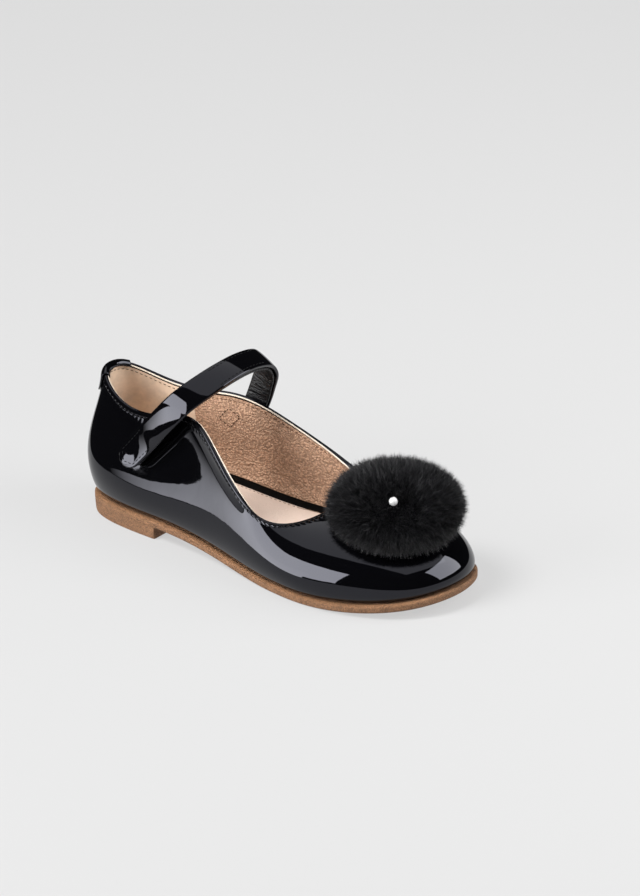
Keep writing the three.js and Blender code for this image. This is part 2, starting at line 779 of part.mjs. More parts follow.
// The way from the middle of the pompom to the pearl
const PEARL_WAY = (() => {
  const turn = THREE.MathUtils.degToRad(PEARL_TURN);
  const tilt = THREE.MathUtils.degToRad(PEARL_TILT);
  const level = Math.cos(tilt);
  return new THREE.Vector3(level * Math.cos(turn), level * Math.sin(turn), Math.sin(tilt));
})();

function ballRadius(way) {
  const level = Math.hypot(way.x, way.y) / POMPOM_RADIUS;
  return 1 / Math.hypot(level, way.z / POMPOM_HEIGHT);
}

// How deep the fur is drawn in at a distance from the middle of the pearl
function hollowDepth(distance) {
  return PEARL_HOLLOW * (1 - THREE.MathUtils.smoothstep(distance, HOLLOW_FLAT, HOLLOW_EDGE));
}

// The tip of a lock: further out, and bent over at random and by its weight
function lockTip(way, index) {
  const out = ballRadius(way) + LOCK_LENGTH * THREE.MathUtils.lerp(LOCK_SHORTEST, 1, scatter(index));
  const tip = way.clone().multiplyScalar(out);
  tip.x += LOCK_DROOP * (scatter(index + 0.3) - 0.5);
  tip.y += LOCK_DROOP * (scatter(index + 0.6) - 0.5);
  tip.z -= LOCK_DROOP * scatter(index + 0.9);
  return tip;
}

function pompomGeometry() {
  const ball = new THREE.IcosahedronGeometry(1, POMPOM_DETAIL);
  ball.deleteAttribute("normal");
  ball.deleteAttribute("uv");
  const sphere = mergeVertices(ball, 1e-4);
  const count = sphere.attributes.position.count;
  const indices = Array.from(sphere.index.array);
  const neighbours = neighboursOf(indices, count);
  const isTip = new Array(count).fill(false);
  const points = [];
  for (let k = 0; k < count; k += 1) {
    const way = new THREE.Vector3().fromBufferAttribute(sphere.attributes.position, k).normalize();
    const fromPearl = way.angleTo(PEARL_WAY) * POMPOM_RADIUS;
    isTip[k] = fromPearl > HOLLOW_EDGE && ![...neighbours[k]].some((other) => isTip[other]);
    const between = way.clone().multiplyScalar(ballRadius(way) - hollowDepth(fromPearl));
    const point = (isTip[k] ? lockTip(way, k) : between).add(POMPOM_MIDDLE);
    point.z = Math.max(point.z, vampHeight(point.x, point.y) + POMPOM_CLEARANCE);
    points.push(point);
  }
  const faces = [];
  for (let k = 0; k < indices.length; k += 3) {
    faces.push([indices[k], indices[k + 1], indices[k + 2]]);
  }
  return geometryOf(points, faces);
}

function pearlGeometry() {
  const pearl = new THREE.IcosahedronGeometry(PEARL_RADIUS, PEARL_DETAIL);
  const distance = ballRadius(PEARL_WAY) - PEARL_HOLLOW + PEARL_RADIUS + GAP;
  const place = POMPOM_MIDDLE.clone().addScaledVector(PEARL_WAY, distance);
  pearl.translate(place.x, place.y, place.z);
  return pearl;
}

// Assembly

const PATENT = new THREE.MeshStandardMaterial({ color: 0x0b0b0d, roughness: 0.12, metalness: 0 });
const SOLE_BROWN = new THREE.MeshStandardMaterial({ color: 0x9a714c, roughness: 0.85, metalness: 0 });
const CREAM = new THREE.MeshStandardMaterial({ color: 0xe2cfbf, roughness: 0.7, metalness: 0 });
const FUR = new THREE.MeshStandardMaterial({ color: 0x0d0d0e, roughness: 0.95, metalness: 0 });
const PEARL = new THREE.MeshStandardMaterial({ color: 0xf2f0ec, roughness: 0.15, metalness: 0 });
const LINING = new THREE.MeshStandardMaterial({ color: 0x1a1a1c, roughness: 0.5, metalness: 0 });

const parts = [
  ["outsole", outsoleGeometry(), SOLE_BROWN],
  ["upper", upperGeometry(), PATENT],
  ["insole", insoleGeometry(), CREAM],
  ["heel_tab", heelTabGeometry(), PATENT],
  ["strap", strapGeometry(), PATENT],
  ["strap_lining", strapLiningGeometry(), LINING],
  ["hook_patch", hookPatchGeometry(), LINING],
  ["loop_patch", loopPatchGeometry(), LINING],
  ["pompom", pompomGeometry(), FUR],
  ["pearl", pearlGeometry(), PEARL],
];

const shoe = new THREE.Group();
for (const [name, geometry, material] of parts) {
  const mesh = new THREE.Mesh(geometry, material);
  mesh.name = name;
  shoe.add(mesh);
}
const box = new THREE.Box3().setFromObject(shoe);
const middle = box.getCenter(new THREE.Vector3());
for (const mesh of shoe.children) {
  mesh.geometry.translate(-middle.x, -middle.y, -box.min.z);
}

export default shoe;
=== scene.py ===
"""Looks of a child's patent leather ballet flat with a fur pompom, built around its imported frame.

Metres. +X points to the toe, -Y to the outer side of the foot and +Z up, as in the frame.
"""

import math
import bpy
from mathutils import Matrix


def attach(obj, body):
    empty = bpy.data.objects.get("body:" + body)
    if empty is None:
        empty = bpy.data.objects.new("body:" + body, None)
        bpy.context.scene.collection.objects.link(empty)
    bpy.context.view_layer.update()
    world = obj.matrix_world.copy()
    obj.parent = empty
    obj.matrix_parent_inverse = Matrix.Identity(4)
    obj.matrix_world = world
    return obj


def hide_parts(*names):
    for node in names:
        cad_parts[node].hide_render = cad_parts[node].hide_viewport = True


bl_info = {
    "name": "Patent Ballet Flat",
    "version": (1, 0, 0),
    "blender": (4, 5, 0),
    "location": "3D View > Sidebar > Ballet Flat",
    "description": "Dresses the frame of a ballet flat in patent leather, lining, stitches and fur",
    "category": "Add Mesh",
}

from collections import namedtuple

import bmesh
import bpy
from bpy.props import FloatProperty, FloatVectorProperty, IntProperty, PointerProperty
from mathutils import Matrix, Vector, kdtree
from mathutils.bvhtree import BVHTree

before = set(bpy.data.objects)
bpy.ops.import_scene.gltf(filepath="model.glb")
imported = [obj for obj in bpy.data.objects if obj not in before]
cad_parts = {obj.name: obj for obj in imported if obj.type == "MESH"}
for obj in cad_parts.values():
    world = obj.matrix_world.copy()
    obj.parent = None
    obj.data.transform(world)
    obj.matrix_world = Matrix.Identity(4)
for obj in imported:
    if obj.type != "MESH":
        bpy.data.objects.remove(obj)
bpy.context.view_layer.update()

MM = 0.001
MERGE_DISTANCE = 1e-6

# Half the side of each square of the floor
FLOOR_REACH = 3.0

# Rows of vertices round a section of the upper, from its rim down the outside and back up the inside
SECTION_ROWS = 26
RIM_ROW = 0
MARGIN_LOWER_ROW = 14
MARGIN_UPPER_ROW = 15
INNER_FOOT_ROW = 17
INNER_TOP_ROW = 24

# Rows round a section of the strap, from the heel side over the outer face to the toe side
BAND_ROWS = 8
HEEL_EDGE_ROW = 1
HEEL_FACE_ROW = 2
TOE_FACE_ROW = 3
TOE_EDGE_ROW = 4

# Sections of a rounded end of the strap that its stitches cut across
END_SECTIONS = 3

# A height inside the shoe, under the strap
FOOT_HEIGHT = 30 * MM

# Corners of the insole that a point on the lining is measured from
NEIGHBOURS = 12

# Levels of subdivision of every piece
LEVELS = 2

# Share of its thickness that the middle of a stitch stands off the leather
STITCH_LIFT = 0.15

# The pale cord along the rim: its radius and how far it stands off
EDGE_RADIUS = 0.36 * MM
EDGE_LIFT = 0.05 * MM

# From the foot of the lining in to the sock's stitches
SOCK_SEAM_INSET = 3.1 * MM

# Corners of the square that sews the strap's end down, x and z in millimetres
BOX_CORNERS = [(-44.6, 41.4), (-39.1, 47.4), (-33.8, 44.2), (-39.2, 38.1)]

# Half the width of the groove of a seam, and how far its puckers reach down
GROOVE_WIDTH = 0.55 * MM
PUCKER_LENGTH = 2.6 * MM

# Tint of the lacquer's reflections
LACQUER_TINT = (0.86, 0.87, 1, 1)

# Near-black band of painted shadow on the lining above the insole, standing in for the shade of the gap
# between lining and insole, and the sewing threads
PAINTED_SHADOW_BLACK = (0.003, 0.003, 0.003)
THREADS = {
    "black thread": (0.006, 0.006, 0.007),
    "tan thread": (0.16, 0.085, 0.045),
    "brown thread": (0.012, 0.006, 0.004),
    "cream thread": (0.42, 0.3, 0.22),
}

# The bead and the pompom's skin against their solids: scale and how much lower they sit
PEARL_SCALE = (0.82, 0.82, 0.82)
PEARL_DROP = 0.7 * MM
SKIN_SCALE = (0.9, 0.9, 0.78)
SKIN_DROP = 2.3 * MM
SKIN_ROUNDS = 6

# Coats of fur: length, width and density as shares of the fur's own, and what each adds to its seed
Coat = namedtuple("Coat", "length width density seed")
COATS = {
    "pompom_under_fur": Coat(0.75, 1.0, 1.0, 0),
    "pompom_guard_hairs": Coat(1.0, 0.85, 0.8, 1),
}

# From the middle of the bead to the shortest hairs, and to those of full length
BARE_RADIUS = 3.5 * MM
FULL_RADIUS = 12 * MM

# Softboxes: azimuth and elevation in degrees, and distance, width and height in metres
Softbox = namedtuple("Softbox", "azimuth elevation distance width height power")
SOFTBOXES = {
    "key": Softbox(-22, 19, 0.9, 0.6, 0.56, 8.4),
    "overhead": Softbox(180, 84, 0.8, 1.2, 0.9, 3.3),
    "right": Softbox(116, 31, 0.9, 0.7, 0.62, 8),
}

# The even fill, in degrees, and the dim light from all round
FILL_AZIMUTH = -25
FILL_ELEVATION = 58
FILL_SPREAD = 24
WORLD_COLOUR = (0.012, 0.012, 0.013, 1)

# A card low beside the sheet that only the lacquer mirrors: its light, its corners in metres, and
# the places along Y where it is dark and where its light is full
CARD_STRENGTH = 8.2
CARD_CORNERS = [
    (-0.15, -0.09, -0.005),
    (-0.11, -0.33, -0.016),
    (-0.09, -0.33, 0.10),
    (-0.15, -0.09, 0.006),
]
CARD_FADE = (-0.08, -0.19)

# Width of the camera's sensor, in millimetres
SENSOR_WIDTH = 36

# What every colour setting has
COLOUR = {"subtype": "COLOR", "min": 0, "max": 1}


# Settings

class StageSettings(bpy.types.PropertyGroup):
    """Floor, lights and camera."""

    azimuth: FloatProperty(
        name="Azimuth",
        description="Turn of the camera round the shoe, from looking along +Y",
        default=math.radians(36.31),
        subtype="ANGLE",
    )
    elevation: FloatProperty(
        name="Elevation",
        description="Height of the camera above the horizon",
        default=math.radians(24.3),
        subtype="ANGLE",
    )
    distance: FloatProperty(
        name="Distance",
        description="From the camera to the middle of its view",
        default=1.5517,
        unit="LENGTH",
    )
    target: FloatVectorProperty(
        name="Middle of the View",
        description="The point that the camera looks at",
        default=(-0.01296, 0.04987, 0.025),
        subtype="XYZ",
        unit="LENGTH",
    )
    lens: FloatProperty(
        name="Lens",
        description="Focal length of the camera, in millimetres",
        default=145.4,
    )
    floor_colour: FloatVectorProperty(
        name="Floor Colour",
        description="Grey of the floor under the lights",
        default=(0.14, 0.14, 0.14),
        **COLOUR,
    )
    floor_glow: FloatProperty(
        name="Floor Glow",
        description="Light of the floor's own, which keeps it evenly pale",
        default=0.535,
        min=0,
    )
    sheet_edge: FloatProperty(
        name="Sheet Edge",
        description="From the shoe to the left edge of the part of the floor that the lacquer mirrors",
        default=0.152,
        unit="LENGTH",
    )
    fill: FloatProperty(
        name="Fill",
        description="Strength of the even light from above",
        default=3.6,
        min=0,
    )


class PatentSettings(bpy.types.PropertyGroup):
    """Black patent leather."""

    colour: FloatVectorProperty(
        name="Colour",
        description="Colour under the lacquer",
        default=(0.0012, 0.0012, 0.0016),
        **COLOUR,
    )
    roughness: FloatProperty(
        name="Roughness",
        description="Roughness of the lacquer",
        default=0.035,
        min=0,
        max=1,
    )
    waviness: FloatProperty(
        name="Waviness",
        description="Height of the slow waves in the lacquer",
        default=0.16 * MM,
        unit="LENGTH",
    )
    pucker: FloatProperty(
        name="Pucker",
        description="Depth of the puckers that the stitches pull along an edge",
        default=0.28 * MM,
        unit="LENGTH",
    )


class LiningSettings(bpy.types.PropertyGroup):
    """Leather inside the shoe."""

    tan: FloatVectorProperty(
        name="Tan",
        description="Colour of the grained leather lining",
        default=(0.68, 0.43, 0.29),
        **COLOUR,
    )
    suede: FloatVectorProperty(
        name="Suede",
        description="Colour of the heel grip",
        default=(0.86, 0.68, 0.52),
        **COLOUR,
    )
    edge: FloatVectorProperty(
        name="Raw Edge",
        description="Colour of the cut edge of the lining along the top line",
        default=(0.8, 0.7, 0.58),
        **COLOUR,
    )
    sock: FloatVectorProperty(
        name="Sock",
        description="Colour of the insole",
        default=(0.72, 0.585, 0.5),
        **COLOUR,
    )
    # The band is painted shadow: near-black colour where the gap between lining and insole lies in shade.
    shadow_band_height: FloatProperty(
        name="Shadow Band Height",
        description="Height of the band of painted shadow on the lining, above the insole",
        default=1.7 * MM,
        unit="LENGTH",
    )
    grip_front: FloatProperty(
        name="Heel Grip Front",
        description="Where the heel grip meets the grained lining",
        default=-57 * MM,
        unit="LENGTH",
    )


class StitchSettings(bpy.types.PropertyGroup):
    """Rows of stitches."""

    pitch: FloatProperty(
        name="Pitch", description="From stitch to stitch", default=2.2 * MM, unit="LENGTH"
    )
    length: FloatProperty(
        name="Length", description="Length of a stitch", default=1.6 * MM, unit="LENGTH"
    )
    thickness: FloatProperty(
        name="Thickness", description="Thickness of the thread", default=0.36 * MM, unit="LENGTH"
    )
    inset: FloatProperty(
        name="Inset",
        description="From the edge of the strap to its stitches",
        default=1.4 * MM,
        unit="LENGTH",
    )
    topline_depth: FloatProperty(
        name="Top Line Depth",
        description="From the rim down to the stitches of the top line, outside",
        default=2.9 * MM,
        unit="LENGTH",
    )
    lining_depth: FloatProperty(
        name="Lining Depth",
        description="From the rim down to the stitches of the top line, inside",
        default=4.0 * MM,
        unit="LENGTH",
    )


class SoleSettings(bpy.types.PropertyGroup):
    """Crumb rubber of the sole."""

    colour: FloatVectorProperty(
        name="Colour",
        description="Brown of the sole",
        default=(0.19, 0.096, 0.047),
        **COLOUR,
    )
    crumb: FloatProperty(
        name="Crumb", description="Size of the crumbs", default=0.6 * MM, unit="LENGTH"
    )


class FurSettings(bpy.types.PropertyGroup):
    """Fur of the pompom."""

    colour: FloatVectorProperty(
        name="Colour",
        description="Colour of the hairs",
        default=(0.0075, 0.0075, 0.0085),
        **COLOUR,
    )
    # The paler tips are a painted sheen.
    painted_sheen_colour: FloatVectorProperty(
        name="Sheen Tip Colour",
        description="Colour of the tips, paled by a painted sheen",
        default=(0.036, 0.036, 0.039),
        **COLOUR,
    )
    length: FloatProperty(
        name="Length", description="Length of the longest hairs", default=7.2 * MM, unit="LENGTH"
    )
    width: FloatProperty(
        name="Width", description="Width of a hair at its root", default=0.29 * MM, unit="LENGTH"
    )
    density: FloatProperty(
        name="Density", description="Hairs of each coat on a square metre of skin", default=11e6
    )
    seed: IntProperty(name="Seed", description="Seed of the scattered hairs", default=4)


SETTINGS = {
    "stage": StageSettings,
    "patent": PatentSettings,
    "lining": LiningSettings,
    "stitches": StitchSettings,
    "sole": SoleSettings,
    "fur": FurSettings,
}


def settings(name):
    """The settings of one group."""
    return getattr(bpy.context.scene, "ballet_flat_" + name)


# Meshes

def quad_copy(node):
    """A bmesh of a CAD node, with its doubles merged and its triangles joined."""
    bm = bmesh.new()
    bm.from_mesh(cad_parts[node].data)
    bmesh.ops.remove_doubles(bm, verts=bm.verts, dist=MERGE_DISTANCE)
    bmesh.ops.join_triangles(
        bm,
        faces=bm.faces,
        angle_face_threshold=math.pi,
        angle_shape_threshold=math.pi,
        topology_influence=2,
    )
    return bm


def add_piece(name, data, materials, replaces=()):
    """Adds mesh or curve data as a piece of the shoe that rides on its body."""
    for material in materials:
        data.materials.append(material)
    piece = bpy.data.objects.new(name, data)
    bpy.context.scene.collection.objects.link(piece)
    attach(piece, "root")
    if replaces:
        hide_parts(*replaces)
    return piece


def new_piece(name, bm, materials, replaces=()):
    """Makes a smooth piece of the shoe from a bmesh."""
    mesh = bpy.data.meshes.new(name)
    bm.to_mesh(mesh)
    bm.free()
    mesh.shade_smooth()
    return add_piece(name, mesh, materials, replaces)


def add_subdivision(piece):
    """Rounds a piece with the same levels in the view and the render."""
    subdivision = piece.modifiers.new("Subdivision", "SUBSURF")
    subdivision.levels = LEVELS
    subdivision.render_levels = LEVELS


def crease_corners(bm, angle, weight):
    """Keeps the edges that bend more than an angle sharp when the mesh is subdivided."""
    layer = bm.edges.layers.float.new("crease_edge")
    for edge in bm.edges:
        if len(edge.link_faces) == 2 and edge.calc_face_angle() > angle:
            edge[layer] = weight


def finished_surface(piece):
    """A search tree of a piece's surface with its modifiers."""
    graph = bpy.context.evaluated_depsgraph_get()
    return BVHTree.FromObject(piece, graph)


# Loops of edges

def opposite_edge(edge, vert):
    """The edge that goes straight on from an edge, at a vertex with four edges."""
    return next(e for e in vert.link_edges if not set(e.link_faces) & set(edge.link_faces))


def edge_loop(vert, edge, limit):
    """The closed edge loop that leaves a vertex along an edge, or nothing past a limit."""
    loop = [vert]
    vert = edge.other_vert(vert)
    while vert is not loop[0]:
        if len(loop) == limit or len(vert.link_edges) != 4:
            return []
        loop.append(vert)
        edge = opposite_edge(edge, vert)
        vert = edge.other_vert(vert)
    return loop


def section_through(vert, rows):
    """The closed loop of a number of vertices through one vertex."""
    loops = [edge_loop(vert, edge, rows) for edge in vert.link_edges]
    return next(loop for loop in loops if len(loop) == rows)


# Grid of the upper

def ordered_section(loop):
    """A section of the upper from its rim on, found by the upright edge of its margin."""
    count = len(loop)
    for k in range(count):
        here, after = loop[k], loop[(k + 1) % count]
        if (here.co - after.co).xy.length < MERGE_DISTANCE:
            if here.co.z < after.co.z:
                return [loop[(k + row - MARGIN_LOWER_ROW) % count] for row in range(count)]
            return [loop[(k + MARGIN_UPPER_ROW - row) % count] for row in range(count)]
    raise RuntimeError("a section of the upper has no upright margin edge")


def upper_grid(bm):
    """Sections of the upper from the back round the outer side, each a list of its vertices."""
    back = min(bm.verts, key=lambda v: v.co.x)
    loops = [edge_loop(back, edge, len(bm.verts)) for edge in back.link_edges]
    ring = next(loop for loop in loops if len(loop) > SECTION_ROWS)
    if ring[1].co.y > ring[-1].co.y:
        ring = [ring[0]] + ring[:0:-1]
    return [ordered_section(section_through(vert, SECTION_ROWS)) for vert in ring]


def section_depths(section):
    """Length from the rim down to each vertex of a section: outside above zero, inside below."""
    depths = [0.0] * SECTION_ROWS
    for row in range(1, MARGIN_UPPER_ROW):
        depths[row] = depths[row - 1] + (section[row].co - section[row - 1].co).length
    for row in range(SECTION_ROWS - 1, MARGIN_LOWER_ROW, -1):
        after = (row + 1) % SECTION_ROWS
        depths[row] = depths[after] - (section[row].co - section[after].co).length
    return depths


def point_at_depth(section, depth):
    """The point of a section that lies so far down from the rim: outside above zero, inside below."""
    depths = section_depths(section)
    step = 1 if depth > 0 else -1
    row = 0
    while abs(depths[(row + step) % SECTION_ROWS]) < abs(depth):
        row += step
    here, after = row % SECTION_ROWS, (row + step) % SECTION_ROWS
    share = (depth - depths[here]) / (depths[after] - depths[here])
    return section[here].co.lerp(section[after].co, share)


def unwrap_upper(bm, grid, layer):
    """Fills a UV map with the way along the top line and down from it, in metres."""
    places = {vert: (i, j) for i, section in enumerate(grid) for j, vert in enumerate(section)}
    along = [0.0]
    for i, section in enumerate(grid):
        after = grid[(i + 1) % len(grid)]
        along.append(along[i] + (after[RIM_ROW].co - section[RIM_ROW].co).length)
    depths = [section_depths(section) for section in grid]
    for face in bm.faces:
        columns = [places[vert][0] for vert in face.verts]
        wraps = max(columns) - min(columns) > 1
        for loop in face.loops:
            i, j = places[loop.vert]
            loop[layer].uv = (along[-1] if wraps and i == 0 else along[i], depths[i][j])


def sock_height():
    """A function that gives the height of the insole's top beside a point."""
    corners = [v.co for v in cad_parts["insole"].data.vertices]
    tree = kdtree.KDTree(len(corners))
    for k, corner in enumerate(corners):
        tree.insert(Vector((corner.x, corner.y, 0)), k)
    tree.balance()

    def height(point):
        """Height of the highest corner of the insole near a point."""
        near = tree.find_n(Vector((point.x, point.y, 0)), NEIGHBOURS)
        return max(corners[k].z for _, k, _ in near)

    return height


def mark_sock_height(bm, layer):
    """Fills an attribute with the height above the insole."""
    height = sock_height()
    for vert in bm.verts:
        vert[layer] = vert.co.z - height(vert.co)


# Grid of the strap's layers

def sections_from(section, previous):
    """Sections of a strap layer from one of them to the end that lies away from the previous one."""
    sections = [section]
    while True:
        taken = set(section) | set(previous)
        beside = [[e.other_vert(vert) for e in vert.link_edges] for vert in section]
        following = [[v for v in others if v not in taken] for others in beside]
        if not all(following):
            return sections
        previous, section = section, [others[0] for others in following]
        sections.append(section)


def band_sections(bm):
    """Sections of a strap layer from its tab to its sewn end, each from the heel side over the top."""
    crown = max((v for v in bm.verts if len(v.link_edges) == 4), key=lambda v: v.co.z)
    middle = section_through(crown, BAND_ROWS)
    beside = [e.other_vert(crown) for e in crown.link_edges]
    starts = [section_through(vert, BAND_ROWS) for vert in beside if vert not in middle]
    towards, onwards = (sections_from(start, middle) for start in starts)
    sections = towards[::-1] + [middle] + onwards
    if sections[0][0].co.y > sections[-1][0].co.y:
        sections.reverse()
    return [ordered_band_section(section) for section in sections]


def face_middle(section):
    """The middle of a section's outer face."""
    return (section[HEEL_FACE_ROW].co + section[TOE_FACE_ROW].co) / 2


def half_width(section):
    """From the middle of a section to its edge on the toe side."""
    return (section[TOE_EDGE_ROW].co - section[HEEL_EDGE_ROW].co) / 2


def ordered_band_section(section):
    """A section of a strap layer from the heel side over its outer face."""
    inside = Vector((section[0].co.x, 0, FOOT_HEIGHT))
    lengths = [(section[k].co - section[(k + 1) % BAND_ROWS].co).length for k in range(BAND_ROWS)]
    first = max(range(BAND_ROWS // 2), key=lambda k: lengths[k] + lengths[k + BAND_ROWS // 2])
    outer = max((first, first + BAND_ROWS // 2), key=lambda k: (section[k].co - inside).length)
    ordered = [section[(outer - HEEL_FACE_ROW + k) % BAND_ROWS] for k in range(BAND_ROWS)]
    if ordered[HEEL_FACE_ROW].co.x > ordered[TOE_FACE_ROW].co.x:
        swapped = HEEL_FACE_ROW + TOE_FACE_ROW
        ordered = [ordered[(swapped - k) % BAND_ROWS] for k in range(BAND_ROWS)]
    return ordered


def unwrap_band(bm, sections, layer):
    """Fills a UV map with the way along the strap and across it, in metres."""
    middles = [face_middle(section) for section in sections]
    along = [0.0]
    for here, after in zip(middles, middles[1:]):
        along.append(along[-1] + (after - here).length)
    places = {}
    for i, section in enumerate(sections):
        width = (section[TOE_FACE_ROW].co - section[HEEL_FACE_ROW].co).normalized()
        for vert in section:
            places[vert] = (along[i], (vert.co - middles[i]).dot(width))
    for face in bm.faces:
        for loop in face.loops:
            loop[layer].uv = places[loop.vert]


def band_edge_path(sections, inset):
    """Points round the outer face of a strap layer, so far inside its edge, as a closed path."""
    half = half_width(sections[len(sections) // 2]).length
    heel_side, toe_side = [], []
    for section in sections:
        reach = half_width(section) * max(0.0, 1 - inset / half)
        heel_side.append(face_middle(section) - reach)
        toe_side.append(face_middle(section) + reach)
    ends = [along_end(sections[0], sections[1], inset), along_end(sections[-1], sections[-2], inset)]
    sides = slice(END_SECTIONS, -END_SECTIONS)
    return [ends[0]] + heel_side[sides] + [ends[1]] + toe_side[sides][::-1]


def along_end(end, before, inset):
    """The point of a rounded end that lies inset on the middle line."""
    tip = face_middle(end)
    return tip + (face_middle(before) - tip).normalized() * inset


# Stitches

def resampled(points, is_closed, pitch):
    """Places at a pitch along a path, each with the way that the path runs there."""
    ends = points + points[:1] if is_closed else points
    lengths = [(b - a).length for a, b in zip(ends, ends[1:])]
    count = max(1, round(sum(lengths) / pitch))
    step = sum(lengths) / count
    places = []
    k, passed = 0, 0.0
    for n in range(count):
        distance = (n + 0.5) * step
        while passed + lengths[k] < distance:
            passed += lengths[k]
            k += 1
        way = (ends[k + 1] - ends[k]).normalized()
        places.append((ends[k] + way * (distance - passed), way))
    return places


def stitch_row(bm, surface, points, is_closed):
    """Adds a row of stitches along a path, laid on a surface and nearly half sunk into it."""
    stitches = settings("stitches")
    for place, way in resampled(points, is_closed, stitches.pitch):
        spot, normal, _, _ = surface.find_nearest(place)
        along = (way - normal * way.dot(normal)).normalized()
        across = normal.cross(along)
        turn = Matrix((along, across, normal)).transposed().to_4x4()
        centre = spot + normal * stitches.thickness * STITCH_LIFT
        size = Matrix.Diagonal((stitches.length / 2, stitches.thickness / 2, stitches.thickness / 2, 1))
        bmesh.ops.create_uvsphere(
            bm, u_segments=6, v_segments=5, radius=1, matrix=Matrix.Translation(centre) @ turn @ size
        )


def sew(name, thread, surface, paths, is_closed=True):
    """Makes a piece of rows of stitches along paths on a surface."""
    bm = bmesh.new()
    for path in paths:
        stitch_row(bm, surface, path, is_closed)
    new_piece(name, bm, [thread_material(thread)])


def cord_piece(name, points, radius, material):
    """A thin round cord of leather along a closed path."""
    curve = bpy.data.curves.new(name, "CURVE")
    curve.dimensions = "3D"
    curve.bevel_depth = radius
    curve.bevel_resolution = 1
    curve.resolution_u = 3
    spline = curve.splines.new("NURBS")
    spline.points.add(len(points) - 1)
    for spot, point in zip(spline.points, points):
        spot.co = (*point, 1)
    spline.use_cyclic_u = True
    spline.order_u = 3
    return add_piece(name, curve, [material])


# Shader nodes

class Tree:
    """Adds nodes to a shader or group tree and links them."""

    def __init__(self, tree):
        self.tree = tree

    def node(self, kind, inputs=None, **properties):
        """A new node with its properties set and its inputs fed."""
        node = self.tree.nodes.new(kind)
        for name, value in properties.items():
            setattr(node, name, value)
        for name, value in (inputs or {}).items():
            self.feed(node.inputs[name], value)
        return node

    def feed(self, socket, value):
        """Links another node's output to a socket, or sets its value."""
        if isinstance(value, bpy.types.NodeSocket):
            self.tree.links.new(value, socket)
        else:
            socket.default_value = value

    def place(self):
        """Object coordinates."""
        return self.node("ShaderNodeTexCoord").outputs["Object"]

    def uv(self, name):
        """A UV map's coordinates."""
        return self.node("ShaderNodeUVMap", uv_map=name).outputs["UV"]

    def attribute(self, name):
        """A value that the mesh carries."""
        return self.node("ShaderNodeAttribute", attribute_name=name).outputs["Fac"]

    def part(self, vector, axis):
        """One coordinate of a vector."""
        return self.node("ShaderNodeSeparateXYZ", {0: vector}).outputs[axis]

    def stretched(self, vector, scale, turn=0.0):
        """Coordinates turned in their plane and scaled by axis."""
        values = {"Vector": vector, "Rotation": (0, 0, turn), "Scale": scale}
        return self.node("ShaderNodeMapping", values).outputs["Vector"]

    def maths(self, operation, a, b=0.0, c=0.0):
        """The result of a Math node."""
        return self.node("ShaderNodeMath", {0: a, 1: b, 2: c}, operation=operation).outputs[0]

    def times(self, a, b):
        """The product of two values."""
        return self.maths("MULTIPLY", a, b)

    def vector(self, operation, a, b=None, scale=None):
        """The result of a Vector Math node."""
        node = self.node("ShaderNodeVectorMath", {0: a}, operation=operation)
        if b is not None:
            self.feed(node.inputs[1], b)
        if scale is not None:
            self.feed(node.inputs["Scale"], scale)
        return node.outputs[0]

    def smooth_step(self, value, low, high):
        """0 at the low end and 1 at the high end, which may lie below it."""
        node = self.node(
            "ShaderNodeMapRange",
            {"Value": value, "From Min": low, "From Max": high},
            interpolation_type="SMOOTHSTEP",
        )
        return node.outputs["Result"]

    def below(self, value, edge, softness):
        """1 below an edge and 0 above it."""
        return self.smooth_step(value, edge + softness, edge - softness)

    def noise(self, vector, scale, detail=2.0, roughness=0.5, output="Fac", distortion=0.0):
        """A Noise Texture."""
        values = {"Vector": vector, "Scale": scale, "Detail": detail}
        values["Roughness"] = roughness
        values["Distortion"] = distortion
        return self.node("ShaderNodeTexNoise", values).outputs[output]

    def mix(self, factor, a, b):
        """A mix of two colours."""
        node = self.node("ShaderNodeMix", data_type="RGBA")
        self.feed(node.inputs["Factor"], factor)
        self.feed(node.inputs[6], a)
        self.feed(node.inputs[7], b)
        return node.outputs[2]

    def bump(self, height, distance, normal=None):
        """The normal of a bumped surface, on top of another normal."""
        values = {"Height": height, "Distance": distance}
        if normal:
            values["Normal"] = normal
        return self.node("ShaderNodeBump", values).outputs["Normal"]

    def random(self, seed, low=0.0, high=1.0):
        """A random value for each point."""
        values = {"Min": low, "Max": high, "Seed": seed}
        return self.node("FunctionNodeRandomValue", values, data_type="FLOAT").outputs[1]


def shaded(colour, factor=1.0):
    """A colour made darker or paler by a factor, with full alpha."""
    return (*(min(1.0, c * factor) for c in colour), 1)


def new_group(name, inputs, outputs):
    """A shader node group with named sockets, with its tree helper, input and output nodes."""
    group = bpy.data.node_groups.new(name, "ShaderNodeTree")
    for socket, kind, default in inputs:
        made = group.interface.new_socket(socket, in_out="INPUT", socket_type=kind)
        made.default_value = default
    for socket, kind in outputs:
        group.interface.new_socket(socket, in_out="OUTPUT", socket_type=kind)
    tree = Tree(group)
    return group, tree, tree.node("NodeGroupInput"), tree.node("NodeGroupOutput")


def leather_grain_group():
    """Pebbles of leather grain, from 0 in the furrows to 1, with a slow mottle."""
    name = "leather grain"
    if name in bpy.data.node_groups:
        return bpy.data.node_groups[name]
    group, tree, start, end = new_group(
        name,
        [("Pebble Size", "NodeSocketFloat", 0.8 * MM), ("Mottle Size", "NodeSocketFloat", 9 * MM)],
        [("Pebbles", "NodeSocketFloat"), ("Mottle", "NodeSocketFloat")],
    )
    place = tree.place()
    warp = tree.vector("SCALE", tree.noise(place, 500.0, output="Color"), scale=0.5 * MM)
    scale = tree.maths("DIVIDE", 1.0, start.outputs["Pebble Size"])
    values = {"Vector": tree.vector("ADD", place, warp), "Scale": scale}
    cells = tree.node("ShaderNodeTexVoronoi", values, feature="F1")
    pebbles = tree.smooth_step(cells.outputs["Distance"], 0.75, 0.2)
    mottle = tree.noise(place, tree.maths("DIVIDE", 1.0, start.outputs["Mottle Size"]), 4.0, 0.6)
    tree.feed(end.inputs["Pebbles"], pebbles)
    tree.feed(end.inputs["Mottle"], mottle)
    return group


